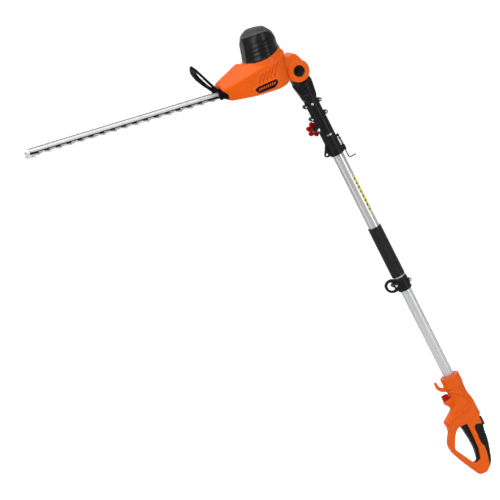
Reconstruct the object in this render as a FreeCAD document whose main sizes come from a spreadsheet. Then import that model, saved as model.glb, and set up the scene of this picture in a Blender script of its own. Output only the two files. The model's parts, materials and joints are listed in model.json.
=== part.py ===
"""Pole hedge trimmer as a parametric FreeCAD document, one STEP file for each separate piece.

Units are millimetres. World frame: +Z runs up the pole from the rear handle to the cutting head, -X points
to the side where the blade reaches out, and Y is the axis that the head tilts about. The origin lies on the
pole's axis, half way along the bare tube between the strap clamp and the rear handle.

Two modelling frames are used, both with their origin where the tilt axis meets the pole's axis:
  pole frame   axes parallel to the world's, so z is minus the distance below the tilt axis
  head frame   x runs out along the blade, z is square to the blade, y points to the world's -Y (near) side
"""
import FreeCAD, Part
import math
import os
from types import SimpleNamespace

import Sketcher
from FreeCAD import Placement, Rotation, Vector

SIZES = {
    # pole
    "pivot_height": (744.0, "tilt axis above the origin"),
    "tube_radius": (14.0, "outside of the aluminium tube"),
    "tube_wall": (1.2, "wall of the aluminium tube"),
    "tube_top": (-196.0, "upper end of the tube, inside the coupling sleeve"),
    "tube_end": (-905.0, "lower end of the tube, inside the handle"),
    "grip_radius": (17.2, "outside of the front grip"),
    "grip_top": (-442.0, "upper end of the front grip"),
    "grip_length": (139.0, "length of the front grip"),
    "collar_radius": (17.9, "outside of the strap clamp"),
    "collar_top": (-585.0, "upper end of the strap clamp"),
    "collar_length": (35.0, "length of the strap clamp"),
    "lead_radius": (3.2, "inner two-core lead"),
    # coupling
    "sleeve_radius": (18.0, "outside of the coupling sleeve"),
    "sleeve_top": (-134.0, "seam between the neck and the sleeve"),
    "sleeve_end": (-235.0, "lower end of the coupling sleeve"),
    "spigot_radius": (11.3, "outside of the neck's inner spigot"),
    "spigot_end": (-192.0, "lower end of the spigot"),
    "running_gap": (0.35, "radial gap between pieces that slide or turn past each other"),
    "knob_axis_x": (-19.0, "clamp bolt's axis, beside the pole"),
    "knob_axis_z": (-157.5, "clamp bolt's axis, below the tilt axis"),
    "knob_radius": (19.4, "over the lobes of the clamp knob"),
    "knob_depth": (10.5, "thickness of the clamp knob"),
    "bolt_radius": (3.0, "clamp bolt"),
    # tilt joint
    "cheek_radius": (28.0, "round cheeks of the head's fork"),
    "cheek_inside": (13.4, "inner faces of the fork from the middle"),
    "cheek_outside": (27.0, "outer faces of the fork from the middle"),
    "tongue_radius": (25.0, "round end of the neck's tongue"),
    "tongue_half": (13.0, "half the tongue's thickness"),
    "button_radius": (13.8, "tilt lock button"),
    # head
    "blade_tilt": (13.0, "blade above square to the pole, in degrees"),
    "wall": (3.0, "wall of the moulded shells"),
    "housing_half": (50.0, "half the housing's width"),
    "motor_place": (77.5, "motor's axis from the tilt axis, along the blade"),
    "cap_radius": (47.5, "motor cap at its foot"),
    "cap_top": (129.0, "top of the motor cap"),
    "gear_module": (1.0, "tooth size of the gear pair"),
    "pinion_teeth": (10, "teeth on the motor's pinion"),
    "gear_teeth": (60, "teeth on the drive gear"),
    "crank_throw": (8.0, "crank pins from the gear's axis; half the blades' stroke"),
    # blades
    "bar_half": (14.0, "half the guide bar's width"),
    "bar_top": (1.5, "upper face of the guide bar"),
    "bar_bottom": (-5.5, "lower edge of the guide bar"),
    "bar_start": (152.0, "rear end of the guide bar"),
    "bar_end": (707.0, "front end of the guide bar"),
    "blade_thick": (2.5, "one blade"),
    "blade_gap": (0.3, "gap over, between and under the blades"),
    "tooth_count": (17, "teeth along each side of the lower blade; the upper one has one fewer"),
    "tooth_pitch": (28.7, "spacing of the teeth"),
    "tooth_reach": (34.0, "tooth tips from the blade's middle"),
    "last_tooth": (690.0, "middle of the lower blade's front teeth"),
    "blade_front": (698.0, "front end of both blades"),
}


class Size:
    """A number together with the sheet expression that gives it."""

    def __init__(self, value, text):
        self.value = float(value)
        self.text = text

    def joined(self, other, sign, value):
        return Size(value, "(%s %s %s)" % (self.text, sign, words(other)))

    def __add__(self, other):
        return self.joined(other, "+", self.value + number(other))

    def __sub__(self, other):
        return self.joined(other, "-", self.value - number(other))

    def __rsub__(self, other):
        return (-self) + other

    def __mul__(self, other):
        return self.joined(other, "*", self.value * number(other))

    def __truediv__(self, other):
        return self.joined(other, "/", self.value / number(other))

    def __neg__(self):
        return Size(-self.value, "(0 - %s)" % self.text)

    __radd__ = __add__
    __rmul__ = __mul__


def number(value):
    return value.value if isinstance(value, Size) else float(value)


def words(value):
    return value.text if isinstance(value, Size) else repr(float(value))


doc = FreeCAD.newDocument("pole_hedge_trimmer")
sheet = doc.addObject("Spreadsheet::Sheet", "Dims")
for row, (alias, (amount, meaning)) in enumerate(SIZES.items(), start=1):
    sheet.set("A%d" % row, meaning)
    sheet.set("B%d" % row, str(amount))
    sheet.setAlias("B%d" % row, alias)
doc.recompute()
d = SimpleNamespace(**{alias: Size(amount, "Dims." + alias) for alias, (amount, meaning) in SIZES.items()})

PIVOT = Vector(0, 0, number(d.pivot_height))
POLE_FRAME = Placement(PIVOT, Rotation())
HEAD_TURN = Rotation(Vector(0, 1, 0), number(d.blade_tilt)) * Rotation(Vector(0, 0, 1), 180)
HEAD_FRAME = Placement(PIVOT, HEAD_TURN)
TURN = {
    "x": Rotation(Vector(0, 1, 0), 90),
    "y": Rotation(Vector(1, 0, 0), -90),
    "z": Rotation(),
}
subparts = []
piece_count = 0


# ---------------------------------------------------------------- building blocks

def unique(kind):
    """A fresh internal name, so that no two helper objects collide."""
    global piece_count
    piece_count += 1
    return "%s_%d" % (kind, piece_count)


def bind(thing, prop, value):
    """Set a property to a number, or tie it to the sheet when the value is a Size."""
    if isinstance(value, Size):
        thing.setExpression(prop, value.text)
    else:
        setattr(thing, prop, value)


def place(thing, x, y, z, rotation=None):
    """Put a primitive at x, y, z; coordinates that are Sizes stay tied to the sheet."""
    thing.Placement = Placement(Vector(number(x), number(y), number(z)), rotation or Rotation())
    for axis, value in zip("xyz", (x, y, z)):
        if isinstance(value, Size):
            thing.setExpression("Placement.Base." + axis, value.text)
    return thing


def block(x, y, z):
    """A box between two limits on each axis: x = (low, high) and so on."""
    thing = doc.addObject("Part::Box", unique("Block"))
    for prop, (low, high) in zip(("Length", "Width", "Height"), (x, y, z)):
        bind(thing, prop, high - low)
    return place(thing, x[0], y[0], z[0])


def rod(axis, radius, span, at=(0, 0)):
    """A cylinder along one axis; span = (low, high) along it, at = its other two coordinates in order."""
    thing = doc.addObject("Part::Cylinder", unique("Rod"))
    bind(thing, "Radius", radius)
    bind(thing, "Height", span[1] - span[0])
    spot = list(at)
    spot.insert("xyz".index(axis), span[0])
    return place(thing, spot[0], spot[1], spot[2], TURN[axis])


def cone(axis, radius_low, radius_high, span, at=(0, 0)):
    thing = doc.addObject("Part::Cone", unique("Cone"))
    bind(thing, "Radius1", radius_low)
    bind(thing, "Radius2", radius_high)
    bind(thing, "Height", span[1] - span[0])
    spot = list(at)
    spot.insert("xyz".index(axis), span[0])
    return place(thing, spot[0], spot[1], spot[2], TURN[axis])


def fuse(*shapes):
    thing = doc.addObject("Part::MultiFuse", unique("Fuse"))
    thing.Shapes = list(shapes)
    thing.Refine = True
    return thing


def cut(base, *tools):
    thing = doc.addObject("Part::Cut", unique("Cut"))
    thing.Base = base
    thing.Tool = tools[0] if len(tools) == 1 else fuse(*tools)
    return thing


def common(base, tool):
    thing = doc.addObject("Part::Common", unique("Common"))
    thing.Base = base
    thing.Tool = tool
    return thing


def new_body(kind):
    return doc.addObject("PartDesign::Body", unique(kind))


def sketch_in(body, role, height=0.0):
    """A sketch on one of the body's own origin planes, raised by height along the plane's normal."""
    sketch = body.newObject("Sketcher::SketchObject", unique("Sketch"))
    plane = [item for item in body.Origin.OriginFeatures if item.Role == role][0]
    sketch.AttachmentSupport = [(plane, "")]
    sketch.MapMode = "FlatFace"
    sketch.AttachmentOffset = Placement(Vector(0, 0, number(height)), Rotation())
    if isinstance(height, Size):
        sketch.setExpression("AttachmentOffset.Base.z", height.text)
    return sketch


def draw(sketch, points):
    """A closed straight-sided outline with every corner's place constrained."""
    first = sketch.GeometryCount
    count = len(points)
    corners = [Vector(number(x), number(y), 0) for x, y in points]
    for index in range(count):
        sketch.addGeometry(Part.LineSegment(corners[index], corners[(index + 1) % count]), False)
    for index in range(count):
        following = first + (index + 1) % count
        sketch.addConstraint(Sketcher.Constraint("Coincident", first + index, 2, following, 1))
    for index, (x, y) in enumerate(points):
        for kind, value in (("DistanceX", x), ("DistanceY", y)):
            made = sketch.addConstraint(Sketcher.Constraint(kind, first + index, 1, number(value)))
            if isinstance(value, Size):
                sketch.setExpression("Constraints[%d]" % made, value.text)


def pad(body, sketch, length, midplane=False):
    feature = body.newObject("PartDesign::Pad", unique("Pad"))
    feature.Profile = sketch
    bind(feature, "Length", length)
    feature.Midplane = midplane
    return feature


def pocket(body, sketch, length, away=False):
    """A pocket that runs against the sketch's normal, or along it when away is set."""
    feature = body.newObject("PartDesign::Pocket", unique("Pocket"))
    feature.Profile = sketch
    bind(feature, "Length", length)
    feature.Reversed = away
    return feature


def side_prism(y, *outlines):
    """A body padded between y = (low, high) from outlines given in x and z; later outlines are holes."""
    body = new_body("Prism")
    sketch = sketch_in(body, "XZ_Plane", -number(y[1]) if not isinstance(y[1], Size) else -y[1])
    for points in outlines:
        draw(sketch, points)
    pad(body, sketch, y[1] - y[0])
    return body


def plan_prism(z, *outlines):
    """A body padded between z = (low, high) from outlines given in x and y; later outlines are holes."""
    body = new_body("Plan")
    sketch = sketch_in(body, "XY_Plane", z[0])
    for points in outlines:
        draw(sketch, points)
    pad(body, sketch, z[1] - z[0])
    return body


def turned(points, x=0.0, y=0.0):
    """A body of revolution about the z axis from an outline given in radius and z."""
    body = new_body("Turned")
    sketch = sketch_in(body, "XZ_Plane")
    draw(sketch, points)
    feature = body.newObject("PartDesign::Revolution", unique("Revolution"))
    feature.Profile = sketch
    feature.ReferenceAxis = (sketch, ["V_Axis"])
    feature.Angle = 360
    return place(body, x, y, 0)


def free_shape(shape):
    """A piece whose form needs Part's own functions."""
    thing = doc.addObject("Part::Feature", unique("Shape"))
    thing.Shape = shape
    return thing


def mirrored_points(points):
    """The outline's other half, mirrored across the x axis, joined on in reverse order."""
    return points + [(x, -y) for x, y in reversed(points)]


def subpart(thing, name, frame):
    """Name a finished piece and move it from its modelling frame into the world."""
    if any("Placement" in path for path, expression in thing.ExpressionEngine):
        holder = doc.addObject("Part::Compound", unique("Piece"))
        holder.Links = [thing]
        thing = holder
    thing.Label = name
    thing.Placement = frame.multiply(thing.Placement)
    subparts.append(thing)


def screws(places, radius, head_radius, span, head_height, axis="y", head_low=True):
    """Identical screws as separate solids in one piece; the head is at the low or high end of the span."""
    shapes = []
    for spot in places:
        head = (span[0], span[0] + head_height) if head_low else (span[1] - head_height, span[1])
        shapes.append(fuse(rod(axis, radius, span, spot), rod(axis, head_radius, head, spot)))
    group = doc.addObject("Part::Compound", unique("Screws"))
    group.Links = shapes
    return group


def coil(radius, wire, low, high, turns):
    """A closed coil spring along z, made of a helix with a round wire."""
    path = Part.makeHelix((high - low - 2 * wire) / turns, high - low - 2 * wire, radius)
    ring = Part.Wire(Part.makeCircle(wire, Vector(radius, 0, 0), Vector(0, 1, 0)))
    solid = Part.Wire(path).makePipeShell([ring], True, True)
    solid.translate(Vector(0, 0, low + wire))
    return solid


# ---------------------------------------------------------------- head: moulded parts

MOTOR_X = number(d.motor_place)
HOUSING_SIDE = [
    (28, -17), (36, -21), (62, -25.5), (126, -26.5), (190, -21.5), (204, -8), (207, 8), (204, 24),
    (141, 57), (128, 52), (30, 75), (22, 73), (19, 60), (20, 37), (28, 37),
]
HOUSING_PLAN_HALF = [
    (19, 10), (24, 22), (32, 33), (44, 43), (60, d.housing_half), (126, d.housing_half), (207, 31),
]
CHEEK_SIDE = [(0, -26), (29, -15), (36, -5), (36, 40), (13, 43), (1, 46), (-7, 38), (-17, 22), (-5, 0)]
HOOD_SIDE = [(-7, 31), (-7, 38), (1, 46), (13, 43), (30, 40), (30, 31)]
HEAD_SCREWS = [(38, 30), (50, -18), (150, -19), (150, 38), (193, 16)]
PLATE_X = (56.0, 148.0)
PLATE_Z = (5.0, 10.0)
BADGE_SIDE = [(66, -7), (77, -17), (120, -20), (128, -10), (119, -5), (69, 1)]


def housing_blank():
    side = side_prism((-d.housing_half, d.housing_half), HOUSING_SIDE)
    plan = plan_prism((-40, 90), mirrored_points(HOUSING_PLAN_HALF))
    return common(side, plan)


def housing_hollow():
    """The housing's inside: the same two outlines, one wall thickness further in."""
    side = side_prism((-47, 47), [
        (31, -15), (38, -18), (63, -22.5), (126, -23.5), (188, -18.5), (200, -7), (203, 8), (200.5, 22),
        (140, 53.5), (128, 48.5), (30, 71), (25, 70), (22.5, 60), (23.5, 41), (31, 41),
    ])
    half = [(22, 9), (27, 20), (35, 31), (46, 40), (62, 46.8), (125, 46.8), (204, 28.6)]
    plan = plan_prism((-40, 90), mirrored_points(half))
    return common(side, plan)


def make_head_shells():
    blank = housing_blank()
    hollow = housing_hollow()
    walls = cut(blank, hollow)
    cheeks = []
    for low, high in ((-d.cheek_outside, -d.cheek_inside), (d.cheek_inside, d.cheek_outside)):
        cheeks.append(rod("y", d.cheek_radius, (low, high)))
        cheeks.append(side_prism((low, high), CHEEK_SIDE))
    hood = side_prism((-14, 14), HOOD_SIDE)
    bosses = [rod("y", 4.2, (-48, 48), spot) for spot in HEAD_SCREWS]
    boss_stock = common(fuse(*bosses), housing_blank())
    solid = fuse(walls, hood, boss_stock, *cheeks)
    motor_hole = rod("z", 43.0, (40, 90), (d.motor_place, 0))
    blade_slot = block((195, 215), (-16, 16), (-13, 3.2))
    button_hole = rod("y", d.button_radius + 0.4, (16, 30))
    pin_hole = rod("y", 5.0, (-30, 30))
    screw_holes = [rod("y", 1.75, (-60, 40), spot) for spot in HEAD_SCREWS]
    head_holes = [rod("y", 3.6, (-60, -21.6), spot) for spot in HEAD_SCREWS]
    whole = cut(solid, motor_hole, blade_slot, button_hole, pin_hole, *(screw_holes + head_holes))
    near = common(whole, block((-60, 230), (0, 70), (-60, 120)))
    far = common(whole, block((-60, 230), (-70, 0), (-60, 120)))
    subpart(near, "head_shell_near", HEAD_FRAME)
    subpart(far, "head_shell_far", HEAD_FRAME)
    subpart(screws(HEAD_SCREWS, 1.6, 3.4, (-24, 6), 2.4), "head_screws", HEAD_FRAME)


def make_motor_cap():
    """Tapered dome over the motor, cut off below along a plane that falls towards the nose."""
    foot = 40.0
    outside = turned([
        (0, foot), (d.cap_radius, foot), (d.cap_radius, 62), (45, 99), (39, 115), (22.5, d.cap_top),
        (0, d.cap_top),
    ], d.motor_place)
    inside = turned([
        (0, foot - 1), (44.5, foot - 1), (44.5, 62), (42, 98), (36.5, 113), (21.5, 126), (0, 126),
    ], d.motor_place)
    seat = turned([(11, 107), (14, 107), (14, 127), (0, 127), (0, 116), (11, 116)], d.motor_place)
    below = doc.addObject("Part::Box", unique("Below"))
    below.Length = 140
    below.Width = 140
    below.Height = 60
    below.Placement = Placement(Vector(10, -70, 79.5), Rotation(Vector(0, 1, 0), 12.6)).multiply(
        Placement(Vector(0, 0, -60), Rotation()))
    slots = []
    for side in (-1, 1):
        for level in range(4):
            slot = doc.addObject("Part::Box", unique("Louvre"))
            slot.Length = 40
            slot.Width = 16
            slot.Height = 2.0
            slot.Placement = Placement(Vector(MOTOR_X - 20, side * 43 - 8, 66.5 + 10.3 * level), Rotation())
            slots.append(slot)
    shell = cut(outside, inside, below, *slots)
    subpart(fuse(shell, seat), "motor_cap", HEAD_FRAME)


def make_badge():
    plate = side_prism((d.housing_half, d.housing_half + 1.6), BADGE_SIDE)
    subpart(plate, "name_badge", HEAD_FRAME)


# ---------------------------------------------------------------- head: motor and gears

def gear_outline(teeth, module, backlash):
    """Straight-sided teeth as a closed polygon: four corners for each tooth."""
    pitch_radius = teeth * module / 2
    points = []
    for index in range(teeth):
        centre = 2 * math.pi * index / teeth
        half_root = (math.pi / 2 - backlash) / teeth * 1.35
        half_tip = (math.pi / 2 - backlash) / teeth * 0.55
        for angle, radius in ((-half_root, -1.25), (-half_tip, 0.85), (half_tip, 0.85), (half_root, -1.25)):
            reach = pitch_radius + radius * module
            points.append(Vector(reach * math.cos(centre + angle), reach * math.sin(centre + angle), 0))
    points.append(points[0])
    return Part.Face(Part.makePolygon(points))


def make_gears():
    """The pinion on the motor's shaft and the drive gear with its two crank pins."""
    module = number(d.gear_module)
    pinion_teeth = int(number(d.pinion_teeth))
    gear_teeth = int(number(d.gear_teeth))
    gear_x = MOTOR_X + module * (pinion_teeth + gear_teeth) / 2
    pinion = gear_outline(pinion_teeth, module, 0.25).extrude(Vector(0, 0, 7))
    pinion = pinion.cut(Part.makeCylinder(2.5, 9, Vector(0, 0, -1)))
    pinion.rotate(Vector(), Vector(0, 0, 1), 180 / pinion_teeth)
    pinion.translate(Vector(MOTOR_X, 0, -4))
    subpart(free_shape(pinion), "motor_pinion", HEAD_FRAME)
    gear = gear_outline(gear_teeth, module, 0.25).extrude(Vector(0, 0, 6))
    gear.rotate(Vector(), Vector(0, 0, 1), 180)
    hub = Part.makeCylinder(9, 8, Vector(0, 0, 0))
    pins = [Part.makeCylinder(4, 8.2, Vector(side * number(d.crank_throw), 0, -8.1)) for side in (-1, 1)]
    gear = gear.multiFuse([hub] + pins)
    gear = gear.cut(Part.makeCylinder(4.05, 20, Vector(0, 0, -0.01)))
    gear.translate(Vector(gear_x, 0, -3.4))
    subpart(free_shape(gear), "drive_gear", HEAD_FRAME)
    subpart(rod("z", 4.0, (-3.4, 10), (gear_x, 0)), "gear_axle", HEAD_FRAME)
    return gear_x


def make_motor(gear_x):
    centre = (d.motor_place, 0)
    x = d.motor_place
    plate = plan_prism(PLATE_Z, [
        (PLATE_X[0], -36), (PLATE_X[1], -34), (PLATE_X[1], 34), (PLATE_X[0], 36),
    ])
    plate = cut(plate, rod("z", 11.0, (0, 20), centre), rod("z", 4.0, (0, 20), (gear_x, 0)),
                rod("z", 2.0, (0, 20), (x, -30)), rod("z", 2.0, (0, 20), (x, 30)))
    subpart(plate, "gearbox_plate", HEAD_FRAME)
    field = cut(rod("z", 34.0, (32, 80), centre), rod("z", 21.4, (30, 90), centre),
                rod("z", 2.1, (30, 90), (x, -30)), rod("z", 2.1, (30, 90), (x, 30)))
    subpart(field, "motor_field", HEAD_FRAME)
    bolts = screws([(x, -30), (x, 30)], 2.0, 3.6, (5, 86), 3.0, "z", False)
    subpart(bolts, "motor_screws", HEAD_FRAME)
    core = rod("z", 20.8, (34, 78), centre)
    shaft = fuse(core, rod("z", 4.0, (4.4, 115.0), centre), rod("z", 2.5, (-4, 5), centre))
    subpart(shaft, "armature", HEAD_FRAME)
    bars = cut(rod("z", 11.0, (86, 100), centre), rod("z", 4.0, (80, 110), centre))
    subpart(bars, "commutator", HEAD_FRAME)
    blades = [fuse(cut(rod("z", 8.0, (16, 26), centre), rod("z", 4.0, (10, 30), centre)),
                   cut(rod("z", 25.0, (16, 18), centre), rod("z", 6.0, (10, 30), centre)))]
    for index in range(8):
        vane = doc.addObject("Part::Box", unique("Vane"))
        vane.Length = 18
        vane.Width = 1.6
        vane.Height = 8
        turn = Rotation(Vector(0, 0, 1), 45 * index + 10)
        outward = Placement(Vector(7, 0, 0), Rotation())
        vane.Placement = Placement(Vector(MOTOR_X, 0, 18), turn).multiply(outward)
        blades.append(vane)
    subpart(fuse(*blades), "cooling_fan", HEAD_FRAME)
    holders = fuse(
        cut(rod("z", 34.0, (80.0, 83), centre), rod("z", 15.0, (79, 90), centre)),
        block((x - 5, x + 5), (11.8, 26), (83, 101)),
        block((x - 5, x + 5), (-26, -11.8), (83, 101)),
    )
    channels = [block((x - 3.2, x + 3.2), (low, low + 20), (89, 97)) for low in (11, -31)]
    holes = [rod("z", 2.1, (70, 90), (x, side)) for side in (-30, 30)]
    subpart(cut(holders, *(channels + holes)), "brush_holders", HEAD_FRAME)
    brushes = doc.addObject("Part::Compound", unique("Brushes"))
    brushes.Links = [block((x - 3, x + 3), reach, (89.3, 96.7)) for reach in ((11.3, 24), (-24, -11.3))]
    subpart(brushes, "carbon_brushes", HEAD_FRAME)
    rings = []
    for low in (5, 108):
        rings.append(cut(rod("z", 11.0, (low, low + 7), centre), rod("z", 4.05, (low - 5, low + 12), centre)))
    bearings = doc.addObject("Part::Compound", unique("Bearings"))
    bearings.Links = rings
    subpart(bearings, "motor_bearings", HEAD_FRAME)


# ---------------------------------------------------------------- head: blades and guards

BOLT_PLACES = [172, 290, 410, 530, 655]
BLADE_SLOT_HALF = 11.5


def make_blade(name, top, tooth_shift, tooth_count, gear_x):
    """A long strip with teeth on both sides, slots for the bolts and a window for the crank pins."""
    low = top - d.blade_thick
    body = new_body("Blade")
    strip = sketch_in(body, "XY_Plane", low)
    draw(strip, [
        (gear_x - 27, -20), (gear_x + 26, -20), (gear_x + 32, -13.5), (d.blade_front, -13.5),
        (d.blade_front, 13.5), (gear_x + 32, 13.5), (gear_x + 26, 20), (gear_x - 27, 20),
    ])
    pad(body, strip, d.blade_thick)
    tooth = sketch_in(body, "XY_Plane", low)
    front = d.last_tooth + tooth_shift
    for side in (-1, 1):
        draw(tooth, [
            (front - 7.5, 12.0 * side), (front - 5.0, 24.0 * side), (front - 2.6, d.tooth_reach * side),
            (front + 2.6, d.tooth_reach * side), (front + 5.0, 24.0 * side), (front + 7.5, 12.0 * side),
        ])
    teeth = pad(body, tooth, d.blade_thick)
    pattern = body.newObject("PartDesign::LinearPattern", unique("Teeth"))
    pattern.Originals = [teeth]
    pattern.Direction = (strip, ["H_Axis"])
    pattern.Reversed = True
    bind(pattern, "Length", d.tooth_pitch * (tooth_count - 1))
    bind(pattern, "Occurrences", tooth_count)
    body.Tip = pattern
    doc.recompute()
    openings = sketch_in(body, "XY_Plane", top)
    draw(openings, [
        (gear_x - 20.5, -12.6), (gear_x + 20.5, -12.6), (gear_x + 20.5, 12.6), (gear_x - 20.5, 12.6),
    ])
    for spot in BOLT_PLACES:
        draw(openings, [
            (spot - BLADE_SLOT_HALF, -3), (spot + BLADE_SLOT_HALF, -3),
            (spot + BLADE_SLOT_HALF, 3), (spot - BLADE_SLOT_HALF, 3),
        ])
    pocket(body, openings, d.blade_thick)
    subpart(body, name, HEAD_FRAME)


def make_blade_unit(gear_x):
    upper_top = d.bar_bottom - d.blade_gap
    lower_top = upper_top - d.blade_thick - d.blade_gap
    make_blade("upper_blade", upper_top, -12.0, d.tooth_count - 1, gear_x)
    make_blade("lower_blade", lower_top, 0.0, d.tooth_count, gear_x)
    bar = cut(block((d.bar_start, d.bar_end), (-d.bar_half, d.bar_half), (d.bar_bottom, d.bar_top)),
              block((d.bar_start - 1, d.bar_end - 4), (-12, 12), (-8, d.bar_top - 2)))
    bar = cut(bar, *[rod("z", 2.6, (-10, 10), (spot, 0)) for spot in BOLT_PLACES])
    subpart(bar, "blade_guide_bar", HEAD_FRAME)
    bolts = []
    lower_face = lower_top - d.blade_thick
    for spot in BOLT_PLACES:
        bolts.append(fuse(rod("z", 2.5, (lower_face - 2.4, d.bar_top), (spot, 0)),
                          rod("z", 5.2, (lower_face - 2.4, lower_face - d.blade_gap), (spot, 0)),
                          rod("z", 5.0, (d.bar_bottom, d.bar_top - 2), (spot, 0))))
    group = doc.addObject("Part::Compound", unique("Bolts"))
    group.Links = bolts
    subpart(group, "blade_bolts", HEAD_FRAME)
    nose = block((d.bar_end, d.bar_end + 9), (-15, 15), (-16.5, 0))
    tip = fuse(nose, block((693, d.bar_end + 9), (-13, 13), (-16.5, -13.8)))
    subpart(tip, "tip_guard", HEAD_FRAME)


GUARD_HALF = [(0, 31), (20, 41), (44, 46.5), (66, 40), (80, 25), (88, 8)]
GUARD_INSIDE_HALF = [(6, 20), (20, 26), (45, 27), (60, 21), (70, 8)]
GUARD_LEAN = 57.0


def make_hand_guard():
    """An arch that leans forward over the blade's root, on a collar clipped to both sides of the nose."""
    arch = plan_prism((-4.5, 4.5), mirrored_points(GUARD_HALF), mirrored_points(GUARD_INSIDE_HALF))
    arch.Placement = Placement(Vector(209.5, 0, 8), Rotation(Vector(0, 1, 0), -GUARD_LEAN))
    collar = cut(block((207.3, 211), (-34, 34), (-13, 15)), block((200, 220), (-17.5, 17.5), (-14, 5)))
    clips = []
    for low, high in ((31.6, 34.6), (-34.6, -31.6)):
        outline = [(209, -13), (209, 13), (196, 2), (184, -9), (183, -15), (195, -14)]
        clips.append(side_prism((low, high), outline))
    solid = cut(fuse(arch, collar, *clips), block((150, 300), (-17.5, 17.5), (-14, 5)), housing_blank())
    subpart(solid, "hand_guard", HEAD_FRAME)


# ---------------------------------------------------------------- tilt joint

def make_tilt_joint():
    pin = fuse(rod("y", 5.0, (-27.5, 15.8)), rod("y", 8.5, (-29.5, -27)))
    subpart(pin, "pivot_pin", HEAD_FRAME)
    button = cut(rod("y", d.button_radius, (20.5, 30)), rod("y", 5.5, (28, 31)), rod("y", 8.6, (19, 26)))
    subpart(button, "tilt_lock_button", HEAD_FRAME)
    wire = coil(7.2, 0.6, 16.1, 25.8, 4)
    wire.rotate(Vector(), Vector(1, 0, 0), -90)
    subpart(free_shape(wire), "tilt_lock_spring", HEAD_FRAME)


NECK_SIDE = [
    (-25, -29.6), (24, -29.6), (25, -36), (21, -62), (17.5, -76), (-17.5, -76), (-19.5, -64), (-25.5, -34),
]
RIVET = (-5, -91)
NECK_EARS = [(-20, -92.5), (20, -92.5), (-20, -127), (20, -127)]


def make_neck():
    """Two half shells that hold the spigot, with a solid tongue that turns between the fork's cheeks."""
    tongue = fuse(rod("y", d.tongue_radius, (-d.tongue_half, d.tongue_half)),
                  block((-22, 22), (-d.tongue_half, d.tongue_half), (-34, -10)))
    shoulder = side_prism((-16, 16), NECK_SIDE)
    barrel = rod("z", 17.5, (d.sleeve_top + 0.4, -70))
    ears = []
    for x, z in NECK_EARS:
        ears.append(rod("y", 5.4, (-8, 8), (x, z)))
        ears.append(block((min(x, x * 0.6), max(x, x * 0.6)), (-5, 5), (z - 4, z + 4)))
    solid = fuse(tongue, shoulder, barrel, *ears)
    bores = [
        rod("z", d.spigot_radius, (d.sleeve_top - 5, -62)),
        rod("z", d.lead_radius + 0.8, (-70, -38)),
        rod("y", 5.06, (-20, 20)),
        rod("y", 3.0, (-30, 30), RIVET),
    ]
    bores += [rod("y", 1.75, (-20, 20), spot) for spot in NECK_EARS]
    whole = cut(solid, *bores)
    near = common(whole, block((-60, 60), (-40, 0), (-160, 40)))
    far = common(whole, block((-60, 60), (0, 40), (-160, 40)))
    subpart(near, "neck_shell_near", POLE_FRAME)
    subpart(far, "neck_shell_far", POLE_FRAME)
    subpart(screws(NECK_EARS, 1.7, 3.3, (-10.2, 7.5), 2.2), "neck_screws", POLE_FRAME)
    spigot = cut(
        rod("z", d.spigot_radius, (d.spigot_end, -62)),
        rod("z", d.spigot_radius - 1.6, (d.spigot_end - 1, -60)),
        rod("y", 3.0, (-30, 30), RIVET),
    )
    subpart(spigot, "neck_spigot", POLE_FRAME)
    rivet = fuse(rod("y", 3.0, (-18.0, 18.0), RIVET), cone("y", 2.2, 3.4, (-18.8, -17.5), RIVET))
    rivet = cut(rivet, rod("z", d.lead_radius + 0.6, (-120, -60)))
    subpart(rivet, "spigot_rivet", POLE_FRAME)


def make_connector():
    """Plug on the neck's spigot and the socket in the top of the tube, for the inner lead."""
    plug = fuse(rod("z", d.spigot_radius - 1.6, (d.spigot_end, d.spigot_end + 14)),
                *[rod("z", 1.6, (d.spigot_end - 11, d.spigot_end + 1), (x, 0)) for x in (-4, 4)])
    subpart(plug, "neck_plug", POLE_FRAME)
    socket = cut(rod("z", d.tube_radius - d.tube_wall, (-216, d.tube_top)),
                 *[rod("z", 2.1, (-206, -190), (x, 0)) for x in (-4, 4)])
    subpart(socket, "tube_socket", POLE_FRAME)
    subpart(rod("z", d.lead_radius, (d.spigot_end + 14, -40)), "neck_lead", POLE_FRAME)
    subpart(rod("z", d.lead_radius, (-954, -216)), "pole_lead", POLE_FRAME)


# ---------------------------------------------------------------- coupling sleeve

PIN_X = 23.0
PIN_TRAVEL = 9.0
LUG_Z = (-235.0, -221.0)
EYE = (-25.0, -224.0)
GUSSET = [(-14, -200), (-18, -200), (-31.5, -222), (-31.5, -226), (-26, -231), (-14, -231)]


def make_sleeve():
    x = d.knob_axis_x
    z = d.knob_axis_z
    outside = fuse(
        rod("z", d.sleeve_radius, (d.sleeve_end, d.sleeve_top)),
        rod("y", 8.6, (-8, 17.6), (x, z)),
        block((x, -8), (-8, 17.6), (z - 8.6, z + 8.6)),
        rod("y", 6.9, (-2.5, 2.5), EYE),
        side_prism((-2.5, 2.5), GUSSET),
        block((14, 27), (-5, 5), LUG_Z),
        block((14, 25.8), (-3.6, 3.6), (-200, -189)),
    )
    gap = d.running_gap
    openings = [
        rod("z", d.spigot_radius + gap, (d.tube_top, d.sleeve_top + 2)),
        rod("z", d.tube_radius, (d.sleeve_end - 2, d.tube_top)),
        block((-60, -9), (-1.5, 1.5), (-178, d.sleeve_top + 2)),
        rod("y", d.bolt_radius + 0.1, (-30, 30), (x, z)),
        rod("y", 5.6, (-30, -8), (x, z)),
        rod("y", 2.9, (-5, 5), EYE),
        rod("z", 1.9, (LUG_Z[0] - 1, LUG_Z[1] + 1), (PIN_X, 0)),
        rod("z", 1.9, (-201, -190), (PIN_X, 0)),
    ]
    subpart(cut(outside, *openings), "coupling_sleeve", POLE_FRAME)


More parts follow.
